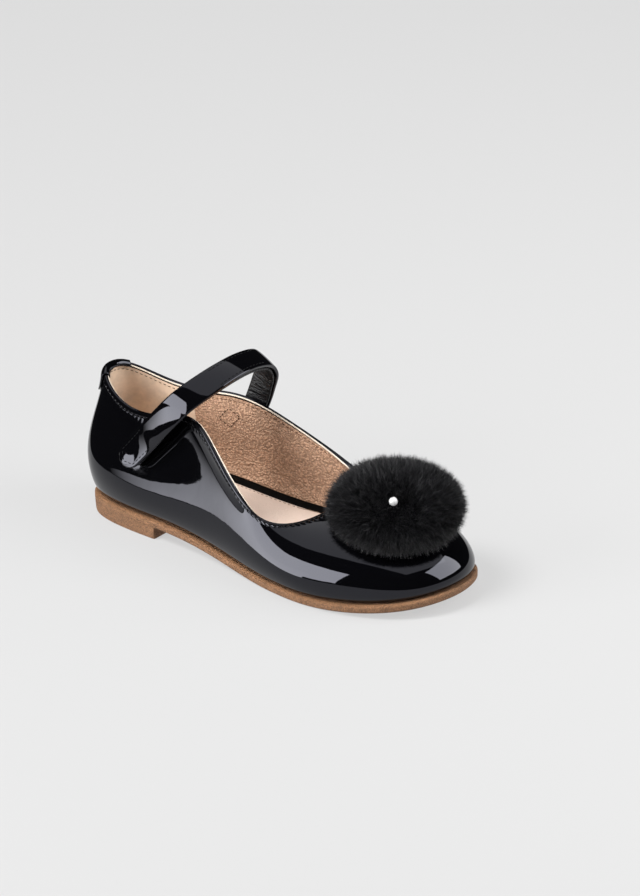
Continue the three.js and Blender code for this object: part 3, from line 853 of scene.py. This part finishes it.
def lacquer_waves_group():
    """Normal of lacquered leather: slow waves, soft dents and a faint orange peel."""
    name = "lacquer waves"
    if name in bpy.data.node_groups:
        return bpy.data.node_groups[name]
    group, tree, start, end = new_group(
        name,
        [("Height", "NodeSocketFloat", 0.16 * MM)],
        [("Normal", "NodeSocketVector")],
    )
    place = tree.place()
    slow = tree.noise(place, 34.0, 1.0)
    dents = tree.noise(place, 150.0, 1.0, distortion=0.4)
    peel = tree.noise(place, 900.0, 1.0)
    small = tree.maths("MULTIPLY_ADD", peel, 0.012, tree.times(dents, 0.16))
    height = tree.maths("ADD", slow, small)
    tree.feed(end.inputs["Normal"], tree.bump(height, start.outputs["Height"]))
    return group


def new_material(name):
    """An empty material, its tree helper and its Principled shader."""
    material = bpy.data.materials.new(name)
    material.use_nodes = True
    return material, Tree(material.node_tree), material.node_tree.nodes["Principled BSDF"]


def set_inputs(tree, node, **values):
    """Sets or links inputs of a node, with _ for a space in their names."""
    for name, value in values.items():
        tree.feed(node.inputs[name.replace("_", " ")], value)


def place_group(tree, group, **values):
    """Places a shader group with its own values."""
    node = tree.node("ShaderNodeGroup", node_tree=group)
    set_inputs(tree, node, **values)
    return node


# Materials

def seam_height(tree, seam, pitch):
    """Height of the groove along a seam and of the puckers below it, by the UV map of the wall."""
    wall = tree.uv("wall")
    offset = tree.maths("SUBTRACT", tree.part(wall, "Y"), seam)
    groove = tree.smooth_step(tree.maths("ABSOLUTE", offset), GROOVE_WIDTH, 0.0)
    starts = tree.smooth_step(offset, 0.0, 0.5 * MM)
    fades = tree.smooth_step(offset, PUCKER_LENGTH, 0.7 * MM)
    turn = tree.times(tree.part(wall, "X"), 2 * math.pi / pitch)
    waver = tree.maths("MULTIPLY_ADD", tree.noise(wall, 260.0, 1.0), 2.2, turn)
    to_throat = tree.smooth_step(tree.part(tree.place(), "X"), -30 * MM, 0.0)
    depth = tree.maths("MULTIPLY_ADD", to_throat, 0.5, 0.08)
    puckers = tree.times(tree.maths("COSINE", waver), tree.times(tree.times(starts, fades), depth))
    return tree.maths("SUBTRACT", puckers, tree.times(groove, 0.8))


def patent_material(name="patent leather", seam=None):
    """Black leather under a clear lacquer. A seam gives the UV depth of a row of stitches."""
    if name in bpy.data.materials:
        return bpy.data.materials[name]
    patent = settings("patent")
    material, tree, shader = new_material(name)
    normal = place_group(tree, lacquer_waves_group(), Height=patent.waviness).outputs["Normal"]
    if seam:
        normal = tree.bump(seam_height(tree, seam, settings("stitches").pitch), patent.pucker, normal)
    set_inputs(
        tree,
        shader,
        Base_Color=shaded(patent.colour),
        Roughness=patent.roughness,
        Normal=normal,
        IOR=1.46,
        Specular_Tint=LACQUER_TINT,
    )
    return material


def lining_material():
    """Grained tan lining with painted shade in its furrows and creases, a suede heel grip and a band of
    painted shadow above the insole.
    """
    lining = settings("lining")
    material, tree, shader = new_material("lining leather")
    grain = place_group(tree, leather_grain_group(), Pebble_Size=1.0 * MM, Mottle_Size=7 * MM)
    pebbles = grain.outputs["Pebbles"]
    place = tree.place()
    above = tree.attribute("above_sock")
    grip = tree.below(tree.part(place, "X"), lining.grip_front, 0.2 * MM)
    # Painted shadow: a near-black band on the lining just above the insole, where the gap to the insole
    # lies in shade.
    band = tree.below(above, lining.shadow_band_height, 0.15 * MM)

    across = tree.stretched(tree.uv("wall"), (170, 430, 1), math.radians(30))
    wrinkles = tree.noise(across, 1.0, 3.0, 0.55, distortion=0.7)
    tan = tree.mix(grain.outputs["Mottle"], shaded(lining.tan, 0.62), shaded(lining.tan, 1.2))
    # Painted shade: the tan darkens in the furrows between the pebbles and along the wrinkles, as the shade
    # of their relief would.
    shade = tree.maths("MULTIPLY_ADD", pebbles, 0.75, 0.25)
    creased = tree.times(shade, tree.smooth_step(wrinkles, 0.1, 0.5))
    tan_with_painted_shade = tree.mix(creased, shaded(lining.tan, 0.42), tan)
    blotch = tree.smooth_step(tree.noise(place, 75.0, 4.0, 0.65), 0.3, 0.7)
    suede = tree.mix(blotch, shaded(lining.suede, 0.72), shaded(lining.suede))
    colour = tree.mix(band, tree.mix(grip, tan_with_painted_shade, suede), shaded(PAINTED_SHADOW_BLACK))

    near_sock = tree.smooth_step(above, 34 * MM, 6 * MM)
    folded = tree.times(tree.times(wrinkles, near_sock), 3.2)
    coarse = tree.times(tree.maths("SUBTRACT", 1.0, grip), tree.maths("SUBTRACT", 1.0, band))
    normal = tree.bump(tree.times(tree.maths("ADD", pebbles, folded), coarse), 0.3 * MM)
    normal = tree.bump(tree.noise(place, 2600.0, 3.0, 0.7), 0.06 * MM, normal)
    rough = tree.maths("MULTIPLY_ADD", band, 0.1, tree.maths("MULTIPLY_ADD", grip, 0.25, 0.65))
    set_inputs(
        tree, shader, Base_Color=colour, Roughness=rough, Normal=normal, Specular_IOR_Level=0.25
    )
    return material


def sock_material():
    """Cream leather of the insole, with a fine grain."""
    sock = settings("lining").sock
    material, tree, shader = new_material("sock leather")
    grain = place_group(tree, leather_grain_group(), Pebble_Size=0.6 * MM, Mottle_Size=12 * MM)
    colour = tree.mix(grain.outputs["Mottle"], shaded(sock, 0.9), shaded(sock, 1.06))
    normal = tree.bump(grain.outputs["Pebbles"], 0.09 * MM)
    set_inputs(tree, shader, Base_Color=colour, Roughness=0.58, Normal=normal)
    return material


def soft_leather_material():
    """Dull black leather under the strap, creased across."""
    material, tree, shader = new_material("strap lining leather")
    grain = place_group(tree, leather_grain_group(), Pebble_Size=0.6 * MM, Mottle_Size=6 * MM)
    across = tree.stretched(tree.uv("route"), (620, 110, 1))
    creases = tree.noise(across, 1.0, 2.0, 0.5, distortion=0.8)
    normal = tree.bump(grain.outputs["Pebbles"], 0.06 * MM)
    normal = tree.bump(creases, 0.9 * MM, normal)
    colour = tree.mix(grain.outputs["Mottle"], (0.002, 0.002, 0.003, 1), (0.008, 0.008, 0.009, 1))
    set_inputs(
        tree, shader, Base_Color=colour, Roughness=0.3, Normal=normal, Specular_IOR_Level=0.3
    )
    return material


def tape_material():
    """Black hook-and-loop tape."""
    material, tree, shader = new_material("closure tape")
    place = tree.place()
    hooks = tree.node("ShaderNodeTexVoronoi", {"Vector": place, "Scale": 1600.0})
    normal = tree.bump(hooks.outputs["Distance"], 0.35 * MM)
    shade = tree.noise(place, 900.0, 2.0)
    colour = tree.mix(shade, (0.004, 0.004, 0.004, 1), (0.02, 0.02, 0.021, 1))
    set_inputs(tree, shader, Base_Color=colour, Roughness=0.85, Normal=normal)
    return material


def thread_material(name):
    """Twisted sewing thread."""
    if name in bpy.data.materials:
        return bpy.data.materials[name]
    material, tree, shader = new_material(name)
    twist = tree.noise(tree.place(), 5000.0, 1.0)
    colour = tree.mix(twist, shaded(THREADS[name], 0.6), shaded(THREADS[name]))
    normal = tree.bump(twist, 0.03 * MM)
    set_inputs(
        tree, shader, Base_Color=colour, Roughness=0.75, Normal=normal, Specular_IOR_Level=0.2
    )
    return material


def raw_edge_material():
    """Pale cut edge of the lining leather."""
    edge = settings("lining").edge
    material, tree, shader = new_material("raw edge")
    fibres = tree.noise(tree.place(), 1400.0, 3.0, 0.7)
    colour = tree.mix(fibres, shaded(edge, 0.7), shaded(edge))
    set_inputs(tree, shader, Base_Color=colour, Roughness=0.8, Normal=tree.bump(fibres, 0.08 * MM))
    return material


def crumb_material():
    """Brown rubber with crumbs, paler and darker."""
    sole = settings("sole")
    material, tree, shader = new_material("crumb rubber")
    place = tree.place()
    crumbs = tree.node("ShaderNodeTexVoronoi", {"Vector": place, "Scale": 1 / sole.crumb})
    value = tree.node("ShaderNodeSeparateColor", {0: crumbs.outputs["Color"]}).outputs[0]
    speckle = tree.noise(place, 2.2 / sole.crumb, 2.0, 0.6)
    dark = shaded(sole.colour, 0.42)
    colour = tree.mix(tree.smooth_step(value, 0.0, 0.9), dark, shaded(sole.colour))
    colour = tree.mix(tree.smooth_step(speckle, 0.48, 0.66), colour, shaded(sole.colour, 1.9))
    colour = tree.mix(tree.times(tree.noise(place, 60.0, 3.0), 0.3), colour, dark)
    height = tree.maths("ADD", speckle, tree.times(crumbs.outputs["Distance"], 0.6))
    set_inputs(tree, shader, Base_Color=colour, Roughness=0.82, Normal=tree.bump(height, 0.16 * MM))
    return material


def fur_material(name, root, tip):
    """Hairs, from a dark root to a tip paled by a painted sheen, each a little lighter or darker."""
    material, tree, shader = new_material(name)
    # Painted sheen: the hairs pale towards their tips, by a random amount on each hair.
    towards_tip = tree.smooth_step(tree.attribute("along"), 0.35, 1.0)
    tip_sheen_and_tone = tree.times(towards_tip, tree.maths("POWER", tree.attribute("shade"), 2.0))
    colour = tree.mix(tip_sheen_and_tone, root, tip)
    set_inputs(tree, shader, Base_Color=colour, Roughness=0.42)
    return material


def pearl_material():
    """Glossy white bead."""
    material, tree, shader = new_material("pearl")
    cloud = tree.noise(tree.place(), 400.0, 2.0)
    colour = tree.mix(cloud, (0.42, 0.42, 0.42, 1), (0.6, 0.6, 0.6, 1))
    set_inputs(
        tree, shader, Base_Color=colour, Roughness=0.12, Coat_Weight=0.5, Coat_Roughness=0.03
    )
    return material


# Pieces

class BALLET_OT_outsole(bpy.types.Operator):
    """The moulded sole and heel"""

    bl_idname = "ballet.outsole"
    bl_label = "Outsole"

    def execute(self, context):
        bm = quad_copy("outsole")
        crease_corners(bm, math.radians(32), 0.85)
        piece = new_piece("outsole_rubber", bm, [crumb_material()], ["outsole"])
        add_subdivision(piece)
        return {"FINISHED"}


class BALLET_OT_insole(bpy.types.Operator):
    """The cream sock"""

    bl_idname = "ballet.insole"
    bl_label = "Insole"

    def execute(self, context):
        bm = quad_copy("insole")
        piece = new_piece("insole_sock", bm, [sock_material()], ["insole"])
        add_subdivision(piece)
        return {"FINISHED"}


class BALLET_OT_upper(bpy.types.Operator):
    """The patent upper with its lining, the raw edge and the stitches of the top line and the sock"""

    bl_idname = "ballet.upper"
    bl_label = "Upper"

    def execute(self, context):
        stitches = settings("stitches")
        bm = quad_copy("upper")
        wall = bm.loops.layers.uv.new("wall")
        above_sock = bm.verts.layers.float.new("above_sock")
        grid = upper_grid(bm)
        unwrap_upper(bm, grid, wall)
        mark_sock_height(bm, above_sock)
        places = {vert: j for section in grid for j, vert in enumerate(section)}
        for face in bm.faces:
            rows = [places[vert] for vert in face.verts]
            face.material_index = int(min(rows) >= MARGIN_UPPER_ROW and max(rows) <= INNER_TOP_ROW)
        outer = [point_at_depth(section, stitches.topline_depth) for section in grid]
        inner = [point_at_depth(section, -stitches.lining_depth) for section in grid]
        rim = [section[INNER_TOP_ROW].co.copy() for section in grid]
        feet = [section[INNER_FOOT_ROW].co.copy() for section in grid]
        patent = patent_material("patent leather of the upper", stitches.topline_depth)
        piece = new_piece(
            "upper_leather", bm, [patent, lining_material()], ["upper"]
        )
        add_subdivision(piece)

        surface = finished_surface(piece)
        raw_edge = raised(rim, surface, EDGE_LIFT)
        cord_piece("lining_edge", raw_edge, EDGE_RADIUS, raw_edge_material())
        sew("topline_stitches", "black thread", surface, [outer])
        sew("lining_stitches", "tan thread", surface, [inner])
        square = box_sides(surface)
        sew("box_stitch", "brown thread", surface, square, is_closed=False)
        sock = finished_surface(bpy.data.objects["insole_sock"])
        sew("sock_stitches", "cream thread", sock, [sock_seam(feet, sock)])
        return {"FINISHED"}


def raised(points, surface, lift):
    """Points moved to a surface, and a little off it."""
    hits = [surface.find_nearest(point) for point in points]
    return [spot + normal * lift for spot, normal, _, _ in hits]


def box_sides(surface):
    """Sides of the square that sews the strap's end down, on the lining of the inner side."""
    rays = [Vector((x * MM, 0, z * MM)) for x, z in BOX_CORNERS]
    corners = [surface.ray_cast(ray, Vector((0, 1, 0)))[0] for ray in rays]
    return [[here, after] for here, after in zip(corners, corners[1:] + corners[:1])]


def sock_seam(feet, sock):
    """Path of the sock's stitches, inside the foot of the lining all round."""
    path = []
    for k, foot in enumerate(feet):
        way = (feet[(k + 1) % len(feet)] - feet[k - 1]).xy.normalized()
        inward = Vector((-way.y, way.x, 0))
        over = foot + inward * SOCK_SEAM_INSET + Vector((0, 0, 20 * MM))
        spot, _, _, _ = sock.ray_cast(over, Vector((0, 0, -1)))
        path.append(spot or over)
    return path


class BALLET_OT_heel_tab(bpy.types.Operator):
    """The patent band folded over the back of the top line"""

    bl_idname = "ballet.heel_tab"
    bl_label = "Heel Tab"

    def execute(self, context):
        bm = quad_copy("heel_tab")
        crease_corners(bm, math.radians(50), 0.5)
        piece = new_piece("heel_tab_leather", bm, [patent_material()], ["heel_tab"])
        add_subdivision(piece)
        return {"FINISHED"}


class BALLET_OT_strap(bpy.types.Operator):
    """The strap with its rounded tab, its stitches and its lining"""

    bl_idname = "ballet.strap"
    bl_label = "Strap"

    def execute(self, context):
        layers = [
            ("strap", patent_material(), "patent_leather"),
            ("strap_lining", soft_leather_material(), "strap_lining"),
        ]
        for node, material, slot in layers:
            bm = quad_copy(node)
            route = bm.loops.layers.uv.new("route")
            crease_corners(bm, math.radians(50), 0.55)
            sections = band_sections(bm)
            unwrap_band(bm, sections, route)
            path = band_edge_path(sections, settings("stitches").inset)
            piece = new_piece(node + "_leather", bm, [material], [node])
            add_subdivision(piece)
            if node == "strap":
                surface = finished_surface(piece)
                sew("strap_stitches", "black thread", surface, [path])
        return {"FINISHED"}


class BALLET_OT_closure(bpy.types.Operator):
    """The hook-and-loop patches under the tab"""

    bl_idname = "ballet.closure"
    bl_label = "Closure"

    def execute(self, context):
        tape = tape_material()
        for node in ("hook_patch", "loop_patch"):
            bm = quad_copy(node)
            crease_corners(bm, math.radians(50), 0.8)
            piece = new_piece(node + "_tape", bm, [tape], [node])
            add_subdivision(piece)
        return {"FINISHED"}


class BALLET_OT_pearl(bpy.types.Operator):
    """The white bead in the middle of the pompom"""

    bl_idname = "ballet.pearl"
    bl_label = "Pearl"

    def execute(self, context):
        bm = quad_copy("pearl")
        smooth(bm, 0.2)
        settle(bm, PEARL_SCALE, PEARL_DROP)
        piece = new_piece("pearl_bead", bm, [pearl_material()], ["pearl"])
        add_subdivision(piece)
        return {"FINISHED"}


class BALLET_OT_pompom(bpy.types.Operator):
    """The fur pompom: its skin, its dense under fur and its longer guard hairs"""

    bl_idname = "ballet.pompom"
    bl_label = "Pompom"

    def execute(self, context):
        fur = settings("fur")
        bm = quad_copy("pompom")
        bmesh.ops.triangulate(bm, faces=bm.faces)
        smooth(bm, 0.5, SKIN_ROUNDS)
        settle(bm, SKIN_SCALE, SKIN_DROP)
        plain = shaded(fur.colour)
        skin = new_piece(
            "pompom_skin", bm, [fur_material("fur skin", plain, plain)], ["pompom"]
        )
        bead = middle_of(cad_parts["pearl"].data.vertices)
        materials = [
            fur_material("under fur", shaded(fur.colour, 0.5), plain),
            fur_material("guard hair", plain, shaded(fur.painted_sheen_colour)),
        ]
        for (name, coat), material in zip(COATS.items(), materials):
            add_piece(name, fur_coat(name, skin, bead, coat), [material])
        return {"FINISHED"}


def smooth(bm, factor, rounds=1):
    """Evens out a bmesh."""
    for _ in range(rounds):
        bmesh.ops.smooth_vert(
            bm, verts=bm.verts, factor=factor, use_axis_x=True, use_axis_y=True, use_axis_z=True
        )


def middle_of(verts):
    """The middle of a mesh's vertices."""
    return sum((v.co for v in verts), Vector()) / len(verts)


def settle(bm, scale, drop):
    """Scales a bmesh about its middle and lowers it."""
    about = Matrix.Translation(-middle_of(bm.verts))
    bmesh.ops.scale(bm, vec=scale, verts=bm.verts, space=about)
    bmesh.ops.translate(bm, verts=bm.verts, vec=(0, 0, -drop))


def hair_blade(length, width):
    """A flat hair with a bend, with its way along as an attribute."""
    bm = bmesh.new()
    along = bm.verts.layers.float.new("along")
    verts = []
    for across, bend, share in [(-1, 0, 0), (1, 0, 0), (0.8, 0.05, 0.55), (-0.8, 0.05, 0.55), (0, 0.16, 1)]:
        vert = bm.verts.new((across * width / 2, bend * length, share * length))
        vert[along] = share
        verts.append(vert)
    bm.faces.new(verts[:4])
    bm.faces.new([verts[3], verts[2], verts[4]])
    mesh = bpy.data.meshes.new("hair")
    bm.to_mesh(mesh)
    bm.free()
    mesh.shade_smooth()
    return bpy.data.objects.new("hair", mesh)


def fur_coat(name, skin, bead, coat):
    """A mesh of hairs scattered on the skin and combed away from the bead, in tufts."""
    fur = settings("fur")
    seed = fur.seed + coat.seed
    hair = hair_blade(coat.length * fur.length, coat.width * fur.width)
    bpy.context.scene.collection.objects.link(hair)
    group = bpy.data.node_groups.new(name, "GeometryNodeTree")
    for way in ("INPUT", "OUTPUT"):
        group.interface.new_socket("Geometry", in_out=way, socket_type="NodeSocketGeometry")
    tree = Tree(group)
    start = tree.node("NodeGroupInput")
    end = tree.node("NodeGroupOutput")
    density = fur.density * coat.density
    scatter = tree.node(
        "GeometryNodeDistributePointsOnFaces",
        {"Mesh": start.outputs[0], "Density": density, "Seed": seed},
    )
    position = tree.node("GeometryNodeInputPosition").outputs[0]
    away = tree.vector("NORMALIZE", tree.vector("SUBTRACT", position, tuple(bead)))
    tufts = tree.noise(position, 400.0, 2.0, output="Color")
    tuft = tree.vector("SUBTRACT", tufts, (0.5, 0.5, 0.5))
    stray = tree.node(
        "FunctionNodeRandomValue",
        {0: (-1, -1, -1), 1: (1, 1, 1), "Seed": seed},
        data_type="FLOAT_VECTOR",
    )
    way = scatter.outputs["Normal"]
    for part, share in [(away, 0.4), (tuft, 2.8), (stray.outputs[0], 0.5)]:
        way = tree.vector("ADD", way, tree.vector("SCALE", part, scale=share))
    way = tree.vector("ADD", way, (0.0, 0.0, -0.12))
    turn = tree.node("FunctionNodeAlignRotationToVector", {"Vector": way}, axis="Z")
    angle = tree.random(seed + 10, 0.0, 2 * math.pi)
    spin = tree.node("FunctionNodeAxisAngleToRotation", {"Angle": angle})
    turned = tree.node(
        "FunctionNodeRotateRotation",
        {"Rotation": turn.outputs[0], "Rotate By": spin.outputs[0]},
        rotation_space="LOCAL",
    )
    near = tree.node("ShaderNodeVectorMath", {0: position, 1: tuple(bead)}, operation="DISTANCE")
    short = tree.node(
        "ShaderNodeMapRange",
        {
            "Value": near.outputs["Value"],
            "From Min": BARE_RADIUS,
            "From Max": FULL_RADIUS,
            "To Min": 0.46,
            "To Max": 1.0,
        },
    )
    tall = tree.times(tree.random(seed + 20, 0.55, 1.0), short.outputs["Result"])
    size = tree.node("ShaderNodeCombineXYZ", {"X": 1.0, "Y": tall, "Z": tall})
    hairs = tree.node("GeometryNodeObjectInfo", {"Object": hair})
    placed = tree.node(
        "GeometryNodeInstanceOnPoints",
        {
            "Points": scatter.outputs["Points"],
            "Instance": hairs.outputs["Geometry"],
            "Rotation": turned.outputs[0],
            "Scale": size.outputs[0],
        },
    )
    stored = tree.node(
        "GeometryNodeStoreNamedAttribute",
        {"Geometry": placed.outputs[0], "Name": "shade", "Value": tree.random(seed + 30)},
        data_type="FLOAT",
        domain="INSTANCE",
    )
    real = tree.node("GeometryNodeRealizeInstances", {"Geometry": stored.outputs[0]})
    tree.feed(end.inputs[0], real.outputs[0])

    carrier = skin.copy()
    carrier.data = skin.data.copy()
    bpy.context.scene.collection.objects.link(carrier)
    carrier.modifiers.new("Fur", "NODES").node_group = group
    graph = bpy.context.evaluated_depsgraph_get()
    mesh = bpy.data.meshes.new_from_object(carrier.evaluated_get(graph))
    mesh.materials.clear()
    mesh.name = name
    bpy.data.objects.remove(carrier)
    bpy.data.objects.remove(hair)
    return mesh


# Stage

def direction(azimuth, elevation):
    """The way from the shoe to a light or the camera."""
    level = math.cos(elevation)
    return Vector((math.sin(azimuth) * level, -math.cos(azimuth) * level, math.sin(elevation)))


def add_light(name, kind, azimuth, elevation, distance):
    """Adds a light that faces the shoe, from an azimuth and elevation in degrees."""
    back = direction(math.radians(azimuth), math.radians(elevation))
    light = bpy.data.objects.new(name, bpy.data.lights.new(name, kind))
    light.location = back * distance
    light.rotation_euler = back.to_track_quat("Z", "Y").to_euler()
    bpy.context.scene.collection.objects.link(light)
    return light


def add_plate(name, bm, material):
    """Adds a flat piece of the stage."""
    mesh = bpy.data.meshes.new(name)
    bm.to_mesh(mesh)
    bm.free()
    mesh.materials.append(material)
    plate = bpy.data.objects.new(name, mesh)
    bpy.context.scene.collection.objects.link(plate)
    return plate


def add_floor(name, material, turn, x):
    """Adds a square of the floor, with its middle at x before it is turned."""
    bm = bmesh.new()
    matrix = turn @ Matrix.Translation((x, 0, 0))
    bmesh.ops.create_grid(bm, x_segments=1, y_segments=1, size=FLOOR_REACH, matrix=matrix)
    return add_plate(name, bm, material)


def floor_material(stage):
    """Pale paper that shines a little by itself."""
    material, tree, shader = new_material("floor")
    set_inputs(
        tree,
        shader,
        Base_Color=shaded(stage.floor_colour),
        Roughness=0.9,
        Specular_IOR_Level=0.0,
        Emission_Color=(1, 1, 1, 1),
        Emission_Strength=stage.floor_glow,
    )
    return material


def add_card():
    """Adds the card low beside the sheet, brighter towards its outer end."""
    bm = bmesh.new()
    bm.faces.new([bm.verts.new(corner) for corner in CARD_CORNERS])
    material, tree, shader = new_material("card")
    strength = tree.smooth_step(tree.part(tree.place(), "Y"), *CARD_FADE)
    set_inputs(
        tree,
        shader,
        Base_Color=(0, 0, 0, 1),
        Specular_IOR_Level=0.0,
        Emission_Color=tree.mix(strength, (0, 0, 0, 1), (1, 1, 1, 1)),
        Emission_Strength=CARD_STRENGTH,
    )
    card = add_plate("card", bm, material)
    card.visible_camera = False
    card.visible_diffuse = False
    card.visible_shadow = False


def add_camera(stage):
    """Adds the camera at the photograph's viewing angle."""
    back = direction(stage.azimuth, stage.elevation)
    data = bpy.data.cameras.new("camera")
    data.lens = stage.lens
    data.sensor_width = SENSOR_WIDTH
    camera = bpy.data.objects.new("camera", data)
    camera.location = Vector(stage.target) + back * stage.distance
    camera.rotation_euler = back.to_track_quat("Z", "Y").to_euler()
    bpy.context.scene.collection.objects.link(camera)
    bpy.context.scene.camera = camera


def add_lights(stage):
    """Adds the dim world, the softboxes and the even fill."""
    world = bpy.data.worlds.new("studio")
    world.use_nodes = True
    world.node_tree.nodes["Background"].inputs["Color"].default_value = WORLD_COLOUR
    bpy.context.scene.world = world
    for name, box in SOFTBOXES.items():
        softbox = add_light(name, "AREA", box.azimuth, box.elevation, box.distance)
        softbox.data.shape = "RECTANGLE"
        softbox.data.size = box.width
        softbox.data.size_y = box.height
        softbox.data.energy = box.power
        softbox.visible_camera = False
    fill = add_light("fill", "SUN", FILL_AZIMUTH, FILL_ELEVATION, 1)
    fill.data.energy = stage.fill
    fill.data.angle = math.radians(FILL_SPREAD)
    fill.visible_glossy = False


class BALLET_OT_stage(bpy.types.Operator):
    """Floor, lights and camera"""

    bl_idname = "ballet.stage"
    bl_label = "Stage"

    def execute(self, context):
        stage = settings("stage")
        material = floor_material(stage)
        turn = Matrix.Rotation(stage.azimuth, 4, "Z")
        add_floor("sheet", material, turn, FLOOR_REACH - stage.sheet_edge)
        ground = add_floor("ground", material, turn, -FLOOR_REACH - stage.sheet_edge)
        ground.visible_glossy = False
        add_card()
        add_camera(stage)
        add_lights(stage)
        context.scene.view_settings.view_transform = "Standard"
        return {"FINISHED"}


OPERATORS = [
    BALLET_OT_stage,
    BALLET_OT_outsole,
    BALLET_OT_insole,
    BALLET_OT_upper,
    BALLET_OT_heel_tab,
    BALLET_OT_strap,
    BALLET_OT_closure,
    BALLET_OT_pearl,
    BALLET_OT_pompom,
]


class BALLET_PT_panel(bpy.types.Panel):
    """Lists the pieces of the ballet flat"""

    bl_label = "Ballet Flat"
    bl_idname = "BALLET_PT_panel"
    bl_space_type = "VIEW_3D"
    bl_region_type = "UI"
    bl_category = "Ballet Flat"

    def draw(self, context):
        for operator in OPERATORS:
            self.layout.operator(operator.bl_idname)


def register():
    for name, group in SETTINGS.items():
        bpy.utils.register_class(group)
        setattr(bpy.types.Scene, "ballet_flat_" + name, PointerProperty(type=group))
    for operator in OPERATORS:
        bpy.utils.register_class(operator)
    bpy.utils.register_class(BALLET_PT_panel)


def unregister():
    bpy.utils.unregister_class(BALLET_PT_panel)
    for operator in reversed(OPERATORS):
        bpy.utils.unregister_class(operator)
    for name, group in SETTINGS.items():
        delattr(bpy.types.Scene, "ballet_flat_" + name)
        bpy.utils.unregister_class(group)


def main():
    register()
    for operator in OPERATORS:
        group, name = operator.bl_idname.split(".")
        getattr(getattr(bpy.ops, group), name)()


if __name__ == "__main__":
    main()
